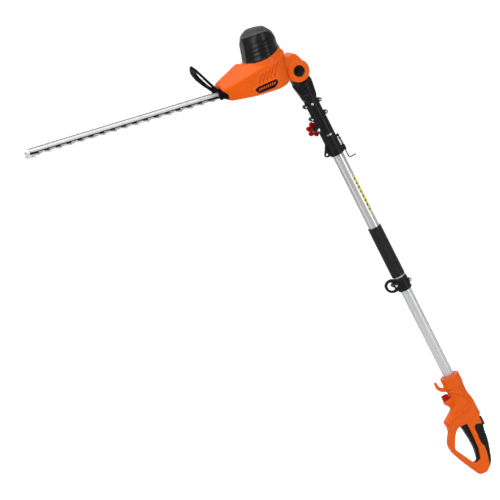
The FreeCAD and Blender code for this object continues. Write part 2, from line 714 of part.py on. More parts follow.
def make_clamp():
    spot = (d.knob_axis_x, d.knob_axis_z)
    bolt = doc.addObject("Part::Prism", unique("BoltHead"))
    bolt.Polygon = 6
    bolt.Circumradius = 5.2
    bolt.Height = 4
    place(bolt, d.knob_axis_x, -12.0, d.knob_axis_z, TURN["y"])
    subpart(fuse(bolt, rod("y", d.bolt_radius, (-9, 30), spot)), "clamp_bolt", POLE_FRAME)
    washer = cut(rod("y", 8.0, (17.9, 18.7), spot), rod("y", d.bolt_radius + 0.4, (17, 21), spot))
    subpart(washer, "clamp_washer", POLE_FRAME)
    face = 18.7 + 0.35
    lobes = [rod("y", 13.6, (face, face + d.knob_depth), spot), rod("y", 7.5, (face - 0.35, face + 2), spot)]
    for index in range(6):
        angle = math.radians(60 * index + 30)
        reach = d.knob_radius - 6.0
        lobes.append(rod("y", 6.0, (face, face + d.knob_depth),
                         (d.knob_axis_x + reach * math.cos(angle), d.knob_axis_z + reach * math.sin(angle))))
    knob = cut(fuse(*lobes), rod("y", d.bolt_radius + 0.06, (face - 2, 31.5), spot))
    subpart(knob, "clamp_knob", POLE_FRAME)


def make_release_pin():
    """A wire pin along the sleeve, pushed up by a coil spring and bent outwards below as a finger hook."""
    wire = fuse(rod("z", 1.5, (-258.5, -191), (PIN_X, 0)), rod("z", 3.4, (-202.6, -200.4), (PIN_X, 0)),
                rod("x", 1.5, (PIN_X, 41.5), (0, -258.5)))
    subpart(wire, "release_pin", POLE_FRAME)
    spring = coil(2.9, 0.5, LUG_Z[1] + 0.3, -203.0, 6)
    spring.translate(Vector(PIN_X, 0, 0))
    subpart(free_shape(spring), "release_spring", POLE_FRAME)


# ---------------------------------------------------------------- pole and front grip

def tube_piece(outer, inner, span, name):
    low, high = span
    subpart(cut(rod("z", outer, (low, high)), rod("z", inner, (low - 1, high + 1))), name, POLE_FRAME)


def make_pole():
    tube_piece(d.tube_radius, d.tube_radius - d.tube_wall, (d.tube_end, d.tube_top), "pole_tube")
    tube_piece(d.grip_radius, d.tube_radius, (d.grip_top - d.grip_length, d.grip_top), "front_grip")
    label = doc.addObject("Part::Cylinder", unique("Label"))
    bind(label, "Radius", d.tube_radius + 0.25)
    label.Height = 121
    label.Angle = 56
    label.Placement = Placement(Vector(0, 0, -416), Rotation(Vector(0, 0, 1), -73))
    subpart(cut(label, rod("z", d.tube_radius, (-420, -290))), "strip_label", POLE_FRAME)


LOOP_OUTSIDE = [
    (-17, -580), (-30, -577), (-41, -580), (-47, -588), (-46, -601), (-38, -611), (-26, -615), (-17, -613),
]
LOOP_INSIDE = [
    (-24, -587), (-31, -583.5), (-37.5, -585.5), (-41, -590.5), (-40.5, -599.5), (-35, -606.5), (-24, -609),
]
STRAP_SCREW = (-21, -598)


def make_strap_clamp():
    """Two half collars screwed round the tube; the near one carries the strap loop."""
    low = d.collar_top - d.collar_length
    ring = fuse(rod("z", d.collar_radius, (low, d.collar_top)),
                rod("y", 6.0, (-13, 13), STRAP_SCREW), block((-21, -12), (-13, 13), (-604, -592)),
                rod("y", 4.5, (-13, 13), (18.5, -602)), block((10, 18.5), (-13, 13), (-606.5, -597.5)))
    ring = cut(ring, rod("z", d.tube_radius, (low - 1, d.collar_top + 1)),
               rod("y", 1.75, (-30, 30), STRAP_SCREW), rod("y", 1.75, (-30, 30), (18.5, -602)))
    loop = side_prism((-4, 0), LOOP_OUTSIDE, LOOP_INSIDE)
    loop = cut(
        loop,
        rod("z", d.tube_radius + 2, (-640, -560)),
        rod("z", d.grip_radius + 0.2, (-581.5, -560)),
        rod("y", 1.75, (-30, 30), STRAP_SCREW),
    )
    near = fuse(common(ring, block((-60, 60), (-60, 0), (-700, -500))), loop)
    far = common(ring, block((-60, 60), (0, 60), (-700, -500)))
    subpart(near, "strap_clamp_near", POLE_FRAME)
    subpart(far, "strap_clamp_far", POLE_FRAME)
    subpart(screws([STRAP_SCREW, (18.5, -602)], 1.7, 3.4, (-15.2, 12), 2.2), "strap_clamp_screws", POLE_FRAME)


# ---------------------------------------------------------------- rear handle

HANDLE_OUTSIDE = [
    (-21, -896), (20, -896), (20.5, -912), (21.5, -930), (26, -945), (26.5, -990), (20, -997), (20, -1022),
    (16.5, -1032), (13.5, -1060), (5, -1089), (-2, -1110), (-11, -1121), (-25, -1132), (-45, -1129),
    (-68, -1082), (-82.5, -1046), (-84.5, -1030), (-81, -1015), (-64, -992), (-66, -968), (-39, -951),
    (-24, -939),
]
HANDLE_OPENING = [
    (-42, -995), (-54, -1004), (-72, -1031), (-75, -1040), (-46, -1101), (-38, -1104), (-26, -1100),
    (-19.5, -1068), (-17.5, -1030), (-18, -995),
]
GUARD_BAR = [
    (-62, -992), (-40, -1000), (-40, -1100), (-28, -1104), (-30, -1140), (-90, -1140), (-90, -985),
    (-70, -985),
]
GUARD_BAR_HALF = 12.0
HOOK = [
    (-18, -895.5), (-33.5, -895), (-42.5, -889), (-45, -878), (-42, -865), (-36, -865), (-38.5, -878),
    (-35.5, -886), (-30.5, -888.5), (-18, -888),
]
OVERMOULD = [
    (-6, -1014), (1, -1007), (40, -1026), (40, -1130), (-12, -1130), (-12.5, -1115), (-6, -1092), (-3, -1068),
    (-8, -1056), (-6, -1034),
]
OVERMOULD_CORE = [
    (-12, -1000), (4, -1000), (13.5, -1031), (10.5, -1060), (2, -1088), (-5, -1108), (-14, -1119),
    (-22, -1110),
]
TRIGGER = [
    (-33, -998), (-29, -1026), (-27, -1059), (-31, -1086), (-37, -1101), (-35, -1108), (-30, -1108),
    (-21.5, -1073), (-18.5, -1038), (-18.5, -984), (-24, -984), (-24, -996),
]
TRIGGER_SLOT = [
    (-46, -1108), (-30, -1112), (-23, -1109), (-12, -1073), (-9, -1038), (-8, -980), (-26, -980), (-46, -998),
]
TRIGGER_PIVOT = (-32.5, -1104.5)
HANDLE_SCREWS = [(17, -952), (-52, -972), (-77, -1024), (-34, -1123), (0, -1052)]
SWITCH_X = (-6.0, 12.0)
SWITCH_Z = (-1000.0, -968.0)
LOCK_Z = (-1021.0, -998.0)
LOCK_SPRING_Z = -1009.5
INLET_X = (-41.0, -26.5)
INLET_Z = (-929.0, -907.0)


LEAD_CHANNEL = [(-37, -940), (-37, -926), (-30, -926), (-25, -938), (2, -954), (2, -965), (-10, -965)]


def make_overmould():
    """Soft back of the grip: the handle's outline, less a core that stays hard plastic."""
    zone = common(side_prism((-19, 19), HANDLE_OUTSIDE), side_prism((-30, 30), OVERMOULD))
    return cut(zone, side_prism((-17, 17), OVERMOULD_CORE))


def make_handle():
    low = d.tube_end
    solid = fuse(
        rod("z", 25.2, (-899, -868)),
        side_prism((-19, 19), HANDLE_OUTSIDE),
        cone("z", 19.0, 25.2, (-915, -899)),
        side_prism((-3, 3), HOOK),
        block((-43, -20), (-9, 9), (-932, -919.5)),
    )
    openings = [
        side_prism((-30, -GUARD_BAR_HALF), GUARD_BAR),
        side_prism((GUARD_BAR_HALF, 30), GUARD_BAR),
        side_prism((-30, 30), HANDLE_OPENING),
        side_prism((-8.5, 8.5), TRIGGER_SLOT),
        rod("z", d.tube_radius, (low, -860)),
        rod("z", d.lead_radius + 0.4, (SWITCH_Z[1] - 5, low + 1)),
        block((-10.5, 13), (-10, 10), (SWITCH_Z[0] - 1, SWITCH_Z[1] + 12)),
        block((13.5, 40), (-9.9, 9.9), (LOCK_Z[0] - 0.5, LOCK_Z[1] + 0.5)),
        rod("x", 3.4, (4, 14), (0, LOCK_SPRING_Z)),
        block((11.5, 14), (-4.3, 4.3), (-1014.4, -1004.6)),
        block(INLET_X, (-7, 7), (INLET_Z[0], -900)),
        side_prism((-3.4, 3.4), LEAD_CHANNEL),
        rod("y", 2.05, (-13, 13), TRIGGER_PIVOT),
    ]
    openings += [rod("y", 1.75, (-60, 16), spot) for spot in HANDLE_SCREWS]
    openings += [rod("y", 3.6, (14, 40), spot) for spot in HANDLE_SCREWS]
    whole = cut(solid, make_overmould(), *openings)
    near = common(whole, block((-120, 60), (-60, 0), (-1200, -800)))
    far = common(whole, block((-120, 60), (0, 60), (-1200, -800)))
    subpart(near, "handle_shell_near", POLE_FRAME)
    subpart(far, "handle_shell_far", POLE_FRAME)
    overmould = cut(
        make_overmould(),
        rod("y", 3.6, (-40, 40), HANDLE_SCREWS[4]),
        block((-20, 40), (-10, 10), (LOCK_Z[0] - 0.6, LOCK_Z[1] + 10)),
    )
    subpart(overmould, "grip_overmould", POLE_FRAME)
    subpart(screws(HANDLE_SCREWS, 1.6, 3.3, (-12, 17), 2.6, "y", False), "handle_screws", POLE_FRAME)


def make_controls():
    trigger = cut(side_prism((-8, 8), TRIGGER), rod("y", 2.06, (-12, 12), TRIGGER_PIVOT))
    subpart(trigger, "trigger", POLE_FRAME)
    subpart(rod("y", 2.0, (-13, 13), TRIGGER_PIVOT), "trigger_pin", POLE_FRAME)
    wire = coil(3.0, 0.4, -18.3, -9.3, 5)
    wire.rotate(Vector(), Vector(0, 1, 0), 90)
    wire.translate(Vector(0, 0, -1038))
    subpart(free_shape(wire), "trigger_spring", POLE_FRAME)
    switch = fuse(block(SWITCH_X, (-9, 9), SWITCH_Z), block((-10.6, SWITCH_X[0] + 1), (-3, 3), (-993, -986)))
    subpart(switch, "main_switch", POLE_FRAME)
    button = fuse(block((17, 25.5), (-9.5, 9.5), LOCK_Z), block((15, 18), (-4, 4), (-1014, -1005)))
    subpart(button, "lock_off_button", POLE_FRAME)
    wire = coil(2.4, 0.35, 4.2, 14.8, 5)
    wire.rotate(Vector(), Vector(0, 1, 0), 90)
    wire.translate(Vector(0, 0, LOCK_SPRING_Z))
    subpart(free_shape(wire), "lock_off_spring", POLE_FRAME)


def make_inlet():
    collar = block((-43, -24.5), (-8.8, 8.8), (-919.4, -907))
    outside = fuse(block(INLET_X, (-7, 7), INLET_Z), collar)
    insert = cut(outside, block((-39.5, -28), (-5.5, 5.5), (-921, -900)),
                 *[rod("z", 1.5, (-940, -918), (-33.75, y)) for y in (-3, 3)])
    subpart(insert, "power_inlet", POLE_FRAME)
    pins = doc.addObject("Part::Compound", unique("Pins"))
    pins.Links = [rod("z", 1.5, (-929, -910), (-33.75, y)) for y in (-3, 3)]
    subpart(pins, "inlet_pins", POLE_FRAME)
    route = [(-33.5, -930.4), (-30, -939), (-6, -956.5), (-1, -962)]
    path = Part.makePolygon([Vector(x, 0, z) for x, z in route])
    runs = []
    for edge in path.Edges:
        start, end = [vertex.Point for vertex in edge.Vertexes]
        runs.append(Part.makeCylinder(2.4, edge.Length, start, end - start))
        runs.append(Part.makeSphere(2.4, end))
    lead = runs[0].multiFuse(runs[1:])
    subpart(free_shape(lead), "handle_lead", POLE_FRAME)


# ---------------------------------------------------------------- build, check and write

make_head_shells()
make_motor_cap()
make_badge()
gear_place = make_gears()
make_motor(gear_place)
make_blade_unit(gear_place)
make_hand_guard()
make_tilt_joint()
make_neck()
make_connector()
make_sleeve()
make_clamp()
make_release_pin()
make_pole()
make_strap_clamp()
make_handle()
make_controls()
make_inlet()
doc.recompute()

failed = [thing.Label for thing in doc.Objects if "Invalid" in thing.State or "Error" in thing.State]
for thing in subparts:
    if thing.Shape.isNull() or not thing.Shape.isValid() or not thing.Shape.Solids:
        failed.append(thing.Label)
if failed:
    raise SystemExit("failed: " + ", ".join(failed))
os.makedirs("parts", exist_ok=True)
for thing in subparts:
    thing.Shape.exportStep("parts/%s.step" % thing.Label)
    box = thing.Shape.BoundBox
    print("%-20s %3d solids %10.0f mm3  %s" % (
        thing.Label, len(thing.Shape.Solids), thing.Shape.Volume,
        " ".join("%.0f..%.0f" % pair for pair in (
            (box.XMin, box.XMax), (box.YMin, box.YMax), (box.ZMin, box.ZMax)))))
print(len(subparts), "pieces")
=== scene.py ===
"""Pole hedge trimmer: the looks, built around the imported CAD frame.

Most moulded pieces are made as signed-distance fields, sampled on a grid and turned into a mesh, so that
their walls, fillets, ribs and slots are real geometry. Turned, bent and stamped pieces are built directly.
Modelling is in millimetres, in the same two frames as the CAD, both with their origin on the tilt axis:
  pole frame   axes parallel to the world's
  head frame   x along the blade, y to the near side, z square to the blade
"""
import itertools
import json
import math

import bmesh
import bpy
import numpy as np
import openvdb
from mathutils import Matrix, Vector

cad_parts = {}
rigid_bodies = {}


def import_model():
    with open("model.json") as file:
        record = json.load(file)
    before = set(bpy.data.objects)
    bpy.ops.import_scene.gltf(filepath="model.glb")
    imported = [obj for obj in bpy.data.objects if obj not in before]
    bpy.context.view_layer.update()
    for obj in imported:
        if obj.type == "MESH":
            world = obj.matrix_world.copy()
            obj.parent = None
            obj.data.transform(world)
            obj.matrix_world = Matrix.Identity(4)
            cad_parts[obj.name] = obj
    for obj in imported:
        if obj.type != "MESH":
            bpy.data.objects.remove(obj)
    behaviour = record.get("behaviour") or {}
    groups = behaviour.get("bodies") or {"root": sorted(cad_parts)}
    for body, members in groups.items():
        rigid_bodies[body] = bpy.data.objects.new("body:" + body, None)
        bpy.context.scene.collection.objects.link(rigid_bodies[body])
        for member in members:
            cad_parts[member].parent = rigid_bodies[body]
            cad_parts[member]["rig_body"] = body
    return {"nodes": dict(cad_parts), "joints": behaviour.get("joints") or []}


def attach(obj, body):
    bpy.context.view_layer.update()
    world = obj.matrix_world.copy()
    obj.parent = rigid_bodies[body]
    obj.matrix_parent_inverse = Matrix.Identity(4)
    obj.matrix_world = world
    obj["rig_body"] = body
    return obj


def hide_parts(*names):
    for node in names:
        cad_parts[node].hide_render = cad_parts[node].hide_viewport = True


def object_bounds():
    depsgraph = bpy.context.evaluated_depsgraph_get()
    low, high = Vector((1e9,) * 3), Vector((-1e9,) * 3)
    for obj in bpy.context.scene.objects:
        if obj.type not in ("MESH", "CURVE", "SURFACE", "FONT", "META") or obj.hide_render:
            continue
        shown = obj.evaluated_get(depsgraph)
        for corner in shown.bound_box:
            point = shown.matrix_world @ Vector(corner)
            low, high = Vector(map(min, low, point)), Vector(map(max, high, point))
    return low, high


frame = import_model()
cad_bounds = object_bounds()
nodes = frame["nodes"]
joints = {joint["name"]: joint for joint in frame["joints"]}

MM = 0.001
COARSE = 1.0
PIVOT = Vector(joints["head_tilt"]["pos_m"])
LONG = Vector(joints["upper_blade_stroke"]["axis"])
SQUARE = Vector(joints["gear_spin"]["axis"])
NEAR = Vector((0, -1, 0))


def frame_matrix(x_axis, y_axis, z_axis):
    """Takes a modelling frame's millimetres, measured from the tilt axis, to world metres."""
    matrix = Matrix((x_axis, y_axis, z_axis)).transposed().to_4x4()
    return Matrix.Translation(PIVOT) @ matrix @ Matrix.Diagonal((MM, MM, MM, 1))


HEAD = frame_matrix(LONG, NEAR, SQUARE)
POLE = frame_matrix(Vector((1, 0, 0)), Vector((0, 1, 0)), Vector((0, 0, 1)))


# ---------------- materials

def feed(tree, socket, value):
    """Links a socket to the value, or sets it, as the value's kind asks."""
    if isinstance(value, bpy.types.NodeSocket):
        tree.links.new(value, socket)
    else:
        socket.default_value = value


def add_node(tree, kind, **inputs):
    """A shader node; keyword inputs are numbers, colours or sockets to link, with _ for a space."""
    node = tree.nodes.new("ShaderNode" + kind)
    for key, value in inputs.items():
        feed(tree, node.inputs[key.replace("_", " ")], value)
    return node


def computed(tree, operation, *values):
    node = add_node(tree, "Math")
    node.operation = operation
    for socket, value in zip(node.inputs, values):
        feed(tree, socket, value)
    return node.outputs["Value"]


def spread(tree, value, low, high, start=0.3, end=0.7):
    """Maps start to end onto low to high; a noise value stays between the given defaults."""
    node = add_node(tree, "MapRange", Value=value, From_Min=start, From_Max=end, To_Min=low, To_Max=high)
    return node.outputs["Result"]


def mixed(tree, factor, first, second):
    node = add_node(tree, "Mix")
    node.data_type = "RGBA"
    for index, value in ((0, factor), (6, first), (7, second)):
        feed(tree, node.inputs[index], value)
    return node.outputs[2]


def surface(name, colour, rough, metal=0.0, variation=0.1, grain=1400.0, bump=0.12, stretch=(1, 1, 1),
            wear_and_edge_highlight=None, turn=(0, 0, 0), sheen=0.0, coat=0.0, specular=0.5, rough_spread=0.06):
    """A material with cloudy colour, uneven gloss, a fine relief and, where an edge colour is given, lighter
    edges: partly wear, partly a painted highlight on convex edges.
    """
    material = bpy.data.materials.new(name)
    material.use_nodes = True
    tree = material.node_tree
    shader = tree.nodes["Principled BSDF"]
    shader.inputs["Metallic"].default_value = metal
    shader.inputs["Sheen Weight"].default_value = sheen
    shader.inputs["Coat Weight"].default_value = coat
    shader.inputs["Coat Roughness"].default_value = 0.15
    shader.inputs["Specular IOR Level"].default_value = specular
    place = add_node(tree, "TexCoord").outputs["Object"]
    lengthened = add_node(tree, "Mapping", Vector=place, Rotation=turn, Scale=stretch).outputs["Vector"]
    clouds = add_node(tree, "TexNoise", Vector=place, Scale=22.0, Detail=4.0, Roughness=0.6).outputs["Fac"]
    fine = add_node(tree, "TexNoise", Vector=lengthened, Scale=grain, Detail=3.0).outputs["Fac"]
    middle = add_node(tree, "TexNoise", Vector=lengthened, Scale=grain * 0.12, Detail=3.0).outputs["Fac"]
    dark = [channel * (1 - variation) for channel in colour] + [1]
    light = [min(1, channel * (1 + variation * 0.6)) for channel in colour] + [1]
    base = mixed(tree, spread(tree, clouds, 0, 1), dark, light)
    base = mixed(tree, spread(tree, middle, 0, 0.5), base, dark)
    # Lighter colour on convex edges, found by pointiness: partly wear, partly a painted highlight along the
    # edges.
    if wear_and_edge_highlight is not None:
        edge = spread(tree, add_node(tree, "NewGeometry").outputs["Pointiness"], 0, 1, 0.52, 0.62)
        patchy = computed(tree, "MULTIPLY", edge, spread(tree, clouds, 0.2, 0.8))
        base = mixed(tree, patchy, base, list(wear_and_edge_highlight) + [1])
    tree.links.new(base, shader.inputs["Base Color"])
    uneven = spread(tree, clouds, rough - rough_spread, rough + rough_spread)
    streaky = spread(tree, middle, -rough_spread * 0.5, rough_spread * 0.5)
    tree.links.new(computed(tree, "ADD", uneven, streaky), shader.inputs["Roughness"])
    relief = add_node(tree, "Bump", Height=fine, Strength=bump, Distance=0.0002)
    tree.links.new(relief.outputs["Normal"], shader.inputs["Normal"])
    return material


def painted_shade_middle(material, colour, half):
    """Colours everything within half a width of the middle plane darker: partly oxide left unground, partly
    painted shade where the guide bar above shades the blade.
    """
    tree = material.node_tree
    shader = tree.nodes["Principled BSDF"]
    base = shader.inputs["Base Color"].links[0].from_socket
    place = add_node(tree, "TexCoord").outputs["Object"]
    across = add_node(tree, "SeparateXYZ", Vector=place).outputs["Y"]
    inner = computed(tree, "LESS_THAN", computed(tree, "ABSOLUTE", across), half)
    tree.links.new(mixed(tree, inner, base, list(colour) + [1]), shader.inputs["Base Color"])
    return material


# The edge colours given to the mouldings below are lighter: partly wear, partly a painted highlight on their
# edges.
ORANGE = surface("orange_moulding", (0.95, 0.13, 0.001), 0.38, variation=0.07, bump=0.10,
                 wear_and_edge_highlight=(1.0, 0.22, 0.02), specular=0.22)
BLACK = surface("black_moulding", (0.007, 0.007, 0.008), 0.36, variation=0.25, bump=0.22,
                wear_and_edge_highlight=(0.03, 0.03, 0.033), specular=0.22)
CAP = surface("cap_moulding", (0.008, 0.008, 0.009), 0.3, variation=0.25, bump=0.12, wear_and_edge_highlight=(0.04, 0.04, 0.043),
              specular=0.3)
# The crown's grey is much lighter than the cap's: partly its own grey, partly painted light on its upward
# face.
CROWN = surface("ribbed_crown", (0.085, 0.085, 0.088), 0.5, variation=0.2, bump=0.2, specular=0.3)
GLOSS = surface("gloss_black", (0.004, 0.004, 0.005), 0.14, variation=0.2, bump=0.04, specular=0.2)
SOFT = surface("soft_rubber", (0.009, 0.009, 0.010), 0.55, variation=0.3, grain=900, bump=0.4, specular=0.2)
GRIP = surface("grip_rubber", (0.006, 0.006, 0.007), 0.3, variation=0.3, grain=900, bump=0.3, specular=0.35)
RED = surface("red_moulding", (0.55, 0.003, 0.001), 0.4, variation=0.12, bump=0.1, wear_and_edge_highlight=(0.7, 0.02, 0.01),
              specular=0.1)
TUBE = surface("satin_tube", (0.76, 0.765, 0.77), 0.3, metal=0.6, variation=0.05, grain=900, bump=0.06,
               stretch=(1, 1, 0.02), rough_spread=0.04)
CAST = surface("cast_alloy", (0.55, 0.56, 0.57), 0.5, metal=1.0, variation=0.12, grain=700, bump=0.5)
BAR = surface("bright_bar", (0.9, 0.902, 0.905), 0.25, metal=0.3, variation=0.03, grain=900, bump=0.08,
              stretch=(0.02, 1, 1), turn=(0, math.radians(13), 0), rough_spread=0.04)
KNIFE, HALF_GROUND_SHADED = [
    surface(name, (0.72, 0.725, 0.735), 0.28, metal=0.5, variation=0.1, grain=1100, bump=0.2,
            stretch=(0.05, 1, 1), turn=(0, math.radians(13), 0))
    for name in ("ground_steel", "half_ground_shaded_steel")
]
# Painted shade: the upper blade is darkened across the guide bar's width, where the bar shades it, as well as
# for its oxide.
OXIDE_AND_SHADE = painted_shade_middle(HALF_GROUND_SHADED, (0.02, 0.02, 0.022), 0.0142)
PLATED = surface("plated_steel", (0.78, 0.79, 0.8), 0.22, metal=1.0, variation=0.08, grain=800, bump=0.1)
STEEL = surface("plain_steel", (0.5, 0.51, 0.53), 0.34, metal=1.0, variation=0.12, grain=900, bump=0.2)
COPPER = surface("copper_bars", (0.72, 0.35, 0.14), 0.35, metal=1.0, variation=0.12, grain=900, bump=0.2)
CARBON = surface("pressed_carbon", (0.03, 0.03, 0.032), 0.6, variation=0.3, grain=600, bump=0.5)
SHEATH = surface("cable_sheath", (0.015, 0.015, 0.016), 0.5, variation=0.3, grain=700, bump=0.3)
LABEL = surface("label_print", (0.95, 0.86, 0.01), 0.6, variation=0.06, grain=900, bump=0.05, specular=0.05)
GUARD_BLACK = surface("guard_moulding", (0.006, 0.006, 0.007), 0.6, variation=0.25, bump=0.2, specular=0.04)
WIRE = surface("drawn_wire", (0.06, 0.06, 0.063), 0.5, specular=0.15, variation=0.15, grain=900, bump=0.2)

KEPT_NODES = {
    CAST: ["gearbox_plate"],
    STEEL: ["motor_pinion", "drive_gear", "gear_axle", "motor_field", "armature", "tilt_lock_spring",
            "trigger_pin", "trigger_spring", "lock_off_spring", "pivot_pin"],
    COPPER: ["commutator", "inlet_pins"],
    CARBON: ["carbon_brushes"],
    BLACK: ["cooling_fan", "brush_holders", "neck_plug", "tube_socket", "main_switch"],
    PLATED: ["motor_screws", "motor_bearings", "clamp_washer"],
    TUBE: ["neck_spigot"],
    SHEATH: ["neck_lead", "pole_lead", "handle_lead"],
}
for material, names in KEPT_NODES.items():
    for name in names:
        nodes[name].data.materials.clear()
        nodes[name].data.materials.append(material)


# ---------------- pieces from meshes

def add_object(name, data):
    """A new object in the scene."""
    item = bpy.data.objects.new(name, data)
    bpy.context.scene.collection.objects.link(item)
    return item


def body_of(node):
    return nodes[node]["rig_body"]


def finish_piece(name, mesh, material, replaced):
    """Turns a mesh in world metres into a piece that rides with the CAD nodes it stands for."""
    piece = add_object(name, mesh)
    mesh.materials.append(material)
    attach(piece, body_of(replaced[0]))
    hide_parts(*replaced)


def trim(name, mesh, material, carrier):
    """An extra piece that rides with a CAD node and stands for none."""
    piece = add_object(name, mesh)
    mesh.materials.append(material)
    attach(piece, body_of(carrier))


def smooth_edges(mesh, angle):
    """Smooth shading that keeps edges sharper than the angle."""
    mesh.shade_smooth()
    mesh.set_sharp_from_angle(angle=math.radians(angle))


def build_mesh(name, place, points, faces, angle=32):
    mesh = bpy.data.meshes.new(name)
    mesh.from_pydata([place @ Vector(point) for point in points], [], faces)
    mesh.validate()
    edit = bmesh.new()
    edit.from_mesh(mesh)
    bmesh.ops.recalc_face_normals(edit, faces=edit.faces)
    edit.to_mesh(mesh)
    edit.free()
    smooth_edges(mesh, angle)
    return mesh


def joined(parts):
    """One mesh from several (points, faces) pairs."""
    points = []
    faces = []
    for part_points, part_faces in parts:
        start = len(points)
        points.extend(part_points)
        faces.extend([[corner + start for corner in face] for face in part_faces])
    return points, faces


def assemble(node, place, parts, material, angle=32):
    """Joins parts given as points and faces into the piece that stands for a CAD node."""
    mesh = build_mesh(node + "_v", place, *joined(parts), angle)
    finish_piece(node + "_v", mesh, material, [node])


def turned(profile, centre, axis, segments=48):
    """Points and faces of a profile of (radius, height) pairs turned about an axis through a centre."""
    axis = Vector(axis).normalized()
    side = axis.orthogonal().normalized()
    other = axis.cross(side)
    centre = Vector(centre)
    points = []
    rings = []
    for radius, height in profile:
        if radius < 1e-6:
            rings.append([len(points)])
            points.append(centre + axis * height)
            continue
        ring = []
        for index in range(segments):
            angle = 2 * math.pi * index / segments
            outward = side * math.cos(angle) + other * math.sin(angle)
            ring.append(len(points))
            points.append(centre + axis * height + outward * radius)
        rings.append(ring)
    faces = []
    for first, second in zip(rings, rings[1:]):
        for index in range(segments):
            following = (index + 1) % segments
            corners = [first[index % len(first)], first[following % len(first)],
                       second[following % len(second)], second[index % len(second)]]
            face = list(dict.fromkeys(corners))
            if len(face) > 2:
                faces.append(face)
    return points, faces


def ring_profile(corners, radius, steps=3):
    """Closes a loop of (radius, height) corners with each corner rounded."""
    loop = filleted(corners, radius, steps)
    return loop + loop[:1]


def tube_along(path, radius, sides=12, closed=False):
    """Points and faces of a round wire along a path, with rounded ends."""
    path = [Vector(point) for point in path]
    count = len(path)
    tangents = []
    for index in range(count):
        before = path[index - 1] if index or closed else path[0]
        after = path[(index + 1) % count] if index < count - 1 or closed else path[-1]
        tangents.append((after - before).normalized())
    normal = tangents[0].orthogonal().normalized()
    stations = []
    for index in range(count):
        normal = (normal - tangents[index] * normal.dot(tangents[index])).normalized()
        stations.append((path[index], normal.copy(), tangents[index].cross(normal), radius))
    if not closed:
        head, tail = stations[0], stations[-1]
        stations.insert(0, (head[0] - tangents[0] * radius * 0.35, head[1], head[2], radius * 0.7))
        stations.append((tail[0] + tangents[-1] * radius * 0.35, tail[1], tail[2], radius * 0.7))
    points = []
    for centre, first, second, size in stations:
        for index in range(sides):
            angle = 2 * math.pi * index / sides
            points.append(centre + (first * math.cos(angle) + second * math.sin(angle)) * size)
    faces = []
    total = len(stations)
    for row in range(total if closed else total - 1):
        following = (row + 1) % total
        for index in range(sides):
            beside = (index + 1) % sides
            faces.append([row * sides + index, row * sides + beside,
                          following * sides + beside, following * sides + index])
    if not closed:
        faces.append(list(range(sides))[::-1])
        faces.append(list(range((total - 1) * sides, total * sides)))
    return points, faces


def helix(radius, low, high, turns, centre, steps=24):
    """Points of a coil spring's line; its first and last turns are closed up."""
    points = []
    total = int(turns * steps)
    for index in range(total + 1):
        share = index / total
        closed = 0.5 * share + 0.5 * (3 * share ** 2 - 2 * share ** 3)
        height = low + (high - low) * closed
        angle = 2 * math.pi * turns * share
        spot = Vector((radius * math.cos(angle), radius * math.sin(angle), height))
        points.append(spot + Vector(centre))
    return points


def screw_head(spot, axis, radius, height, drive, segments=32):
    """A pan head with a cross recess, facing along the axis; spot is the middle of its underside."""
    axis = Vector(axis).normalized()
    profile = [(0, 0), (radius, 0), (radius, height * 0.35), (radius * 0.93, height * 0.7),
               (radius * 0.72, height * 0.95), (drive * 1.25, height)]
    points, faces = turned(profile, spot, axis, segments)
    side = axis.orthogonal().normalized()
    other = axis.cross(side)
    rim = len(points) - segments
    cross = []
    width = drive * 0.34
    for quarter in range(4):
        turn = quarter * math.pi / 2
        out = side * math.cos(turn) + other * math.sin(turn)
        across = other * math.cos(turn) - side * math.sin(turn)
        cross += [out * drive - across * width, out * drive + across * width, out * width + across * width]
    top = Vector(spot) + axis * height
    count = len(cross)
    first = len(points)
    deep = first + count
    points.extend([top + corner for corner in cross])
    points.extend([top - axis * height * 0.6 + corner * 0.72 for corner in cross])
    for index in range(count):
        following = (index + 1) % count
        faces.append([first + index, first + following, deep + following, deep + index])
    faces.append(list(range(deep, deep + count)))
    pitch = segments / count
    for index in range(count):
        low, high = [round((index + share) * pitch - 2.67) for share in (0.5, 1.5)]
        arc = [rim + step % segments for step in range(high, low - 1, -1)]
        faces.append(arc + [first + index, first + (index + 1) % count])
    return points, faces


def screws(spots, level, facing, head, shank):
    """Screws across the tool at spots of x and z, their heads towards +y or -y on the given level.

    head is (radius, height, size of the recess) and shank is (radius, straight length, length to the tip).
    """
    radius, length, tip = shank
    profile = [(0, 0), (radius, 0), (radius, length), (0, tip)]
    parts = []
    for x, z in spots:
        parts.append(screw_head((x, level, z), (0, facing, 0), *head))
        parts.append(turned(profile, (x, level, z), (0, -facing, 0), 16))
    return parts


# ---------------- signed-distance modelling

def filleted(points, radius, steps=5):
    """The closed outline with every corner rounded; radius is how far from the corner the curve starts."""
    rounded = []
    count = len(points)
    for index, point in enumerate(points):
        corner = Vector(point[:2])
        reach = point[2] if len(point) > 2 else radius
        before = Vector(points[index - 1][:2]) - corner
        after = Vector(points[(index + 1) % count][:2]) - corner
        start = corner + before.normalized() * min(reach, before.length * 0.48)
        end = corner + after.normalized() * min(reach, after.length * 0.48)
        for step in range(steps + 1):
            share = step / steps
            curve = start.lerp(corner, share).lerp(corner.lerp(end, share), share)
            rounded.append((curve.x, curve.y))
    return rounded


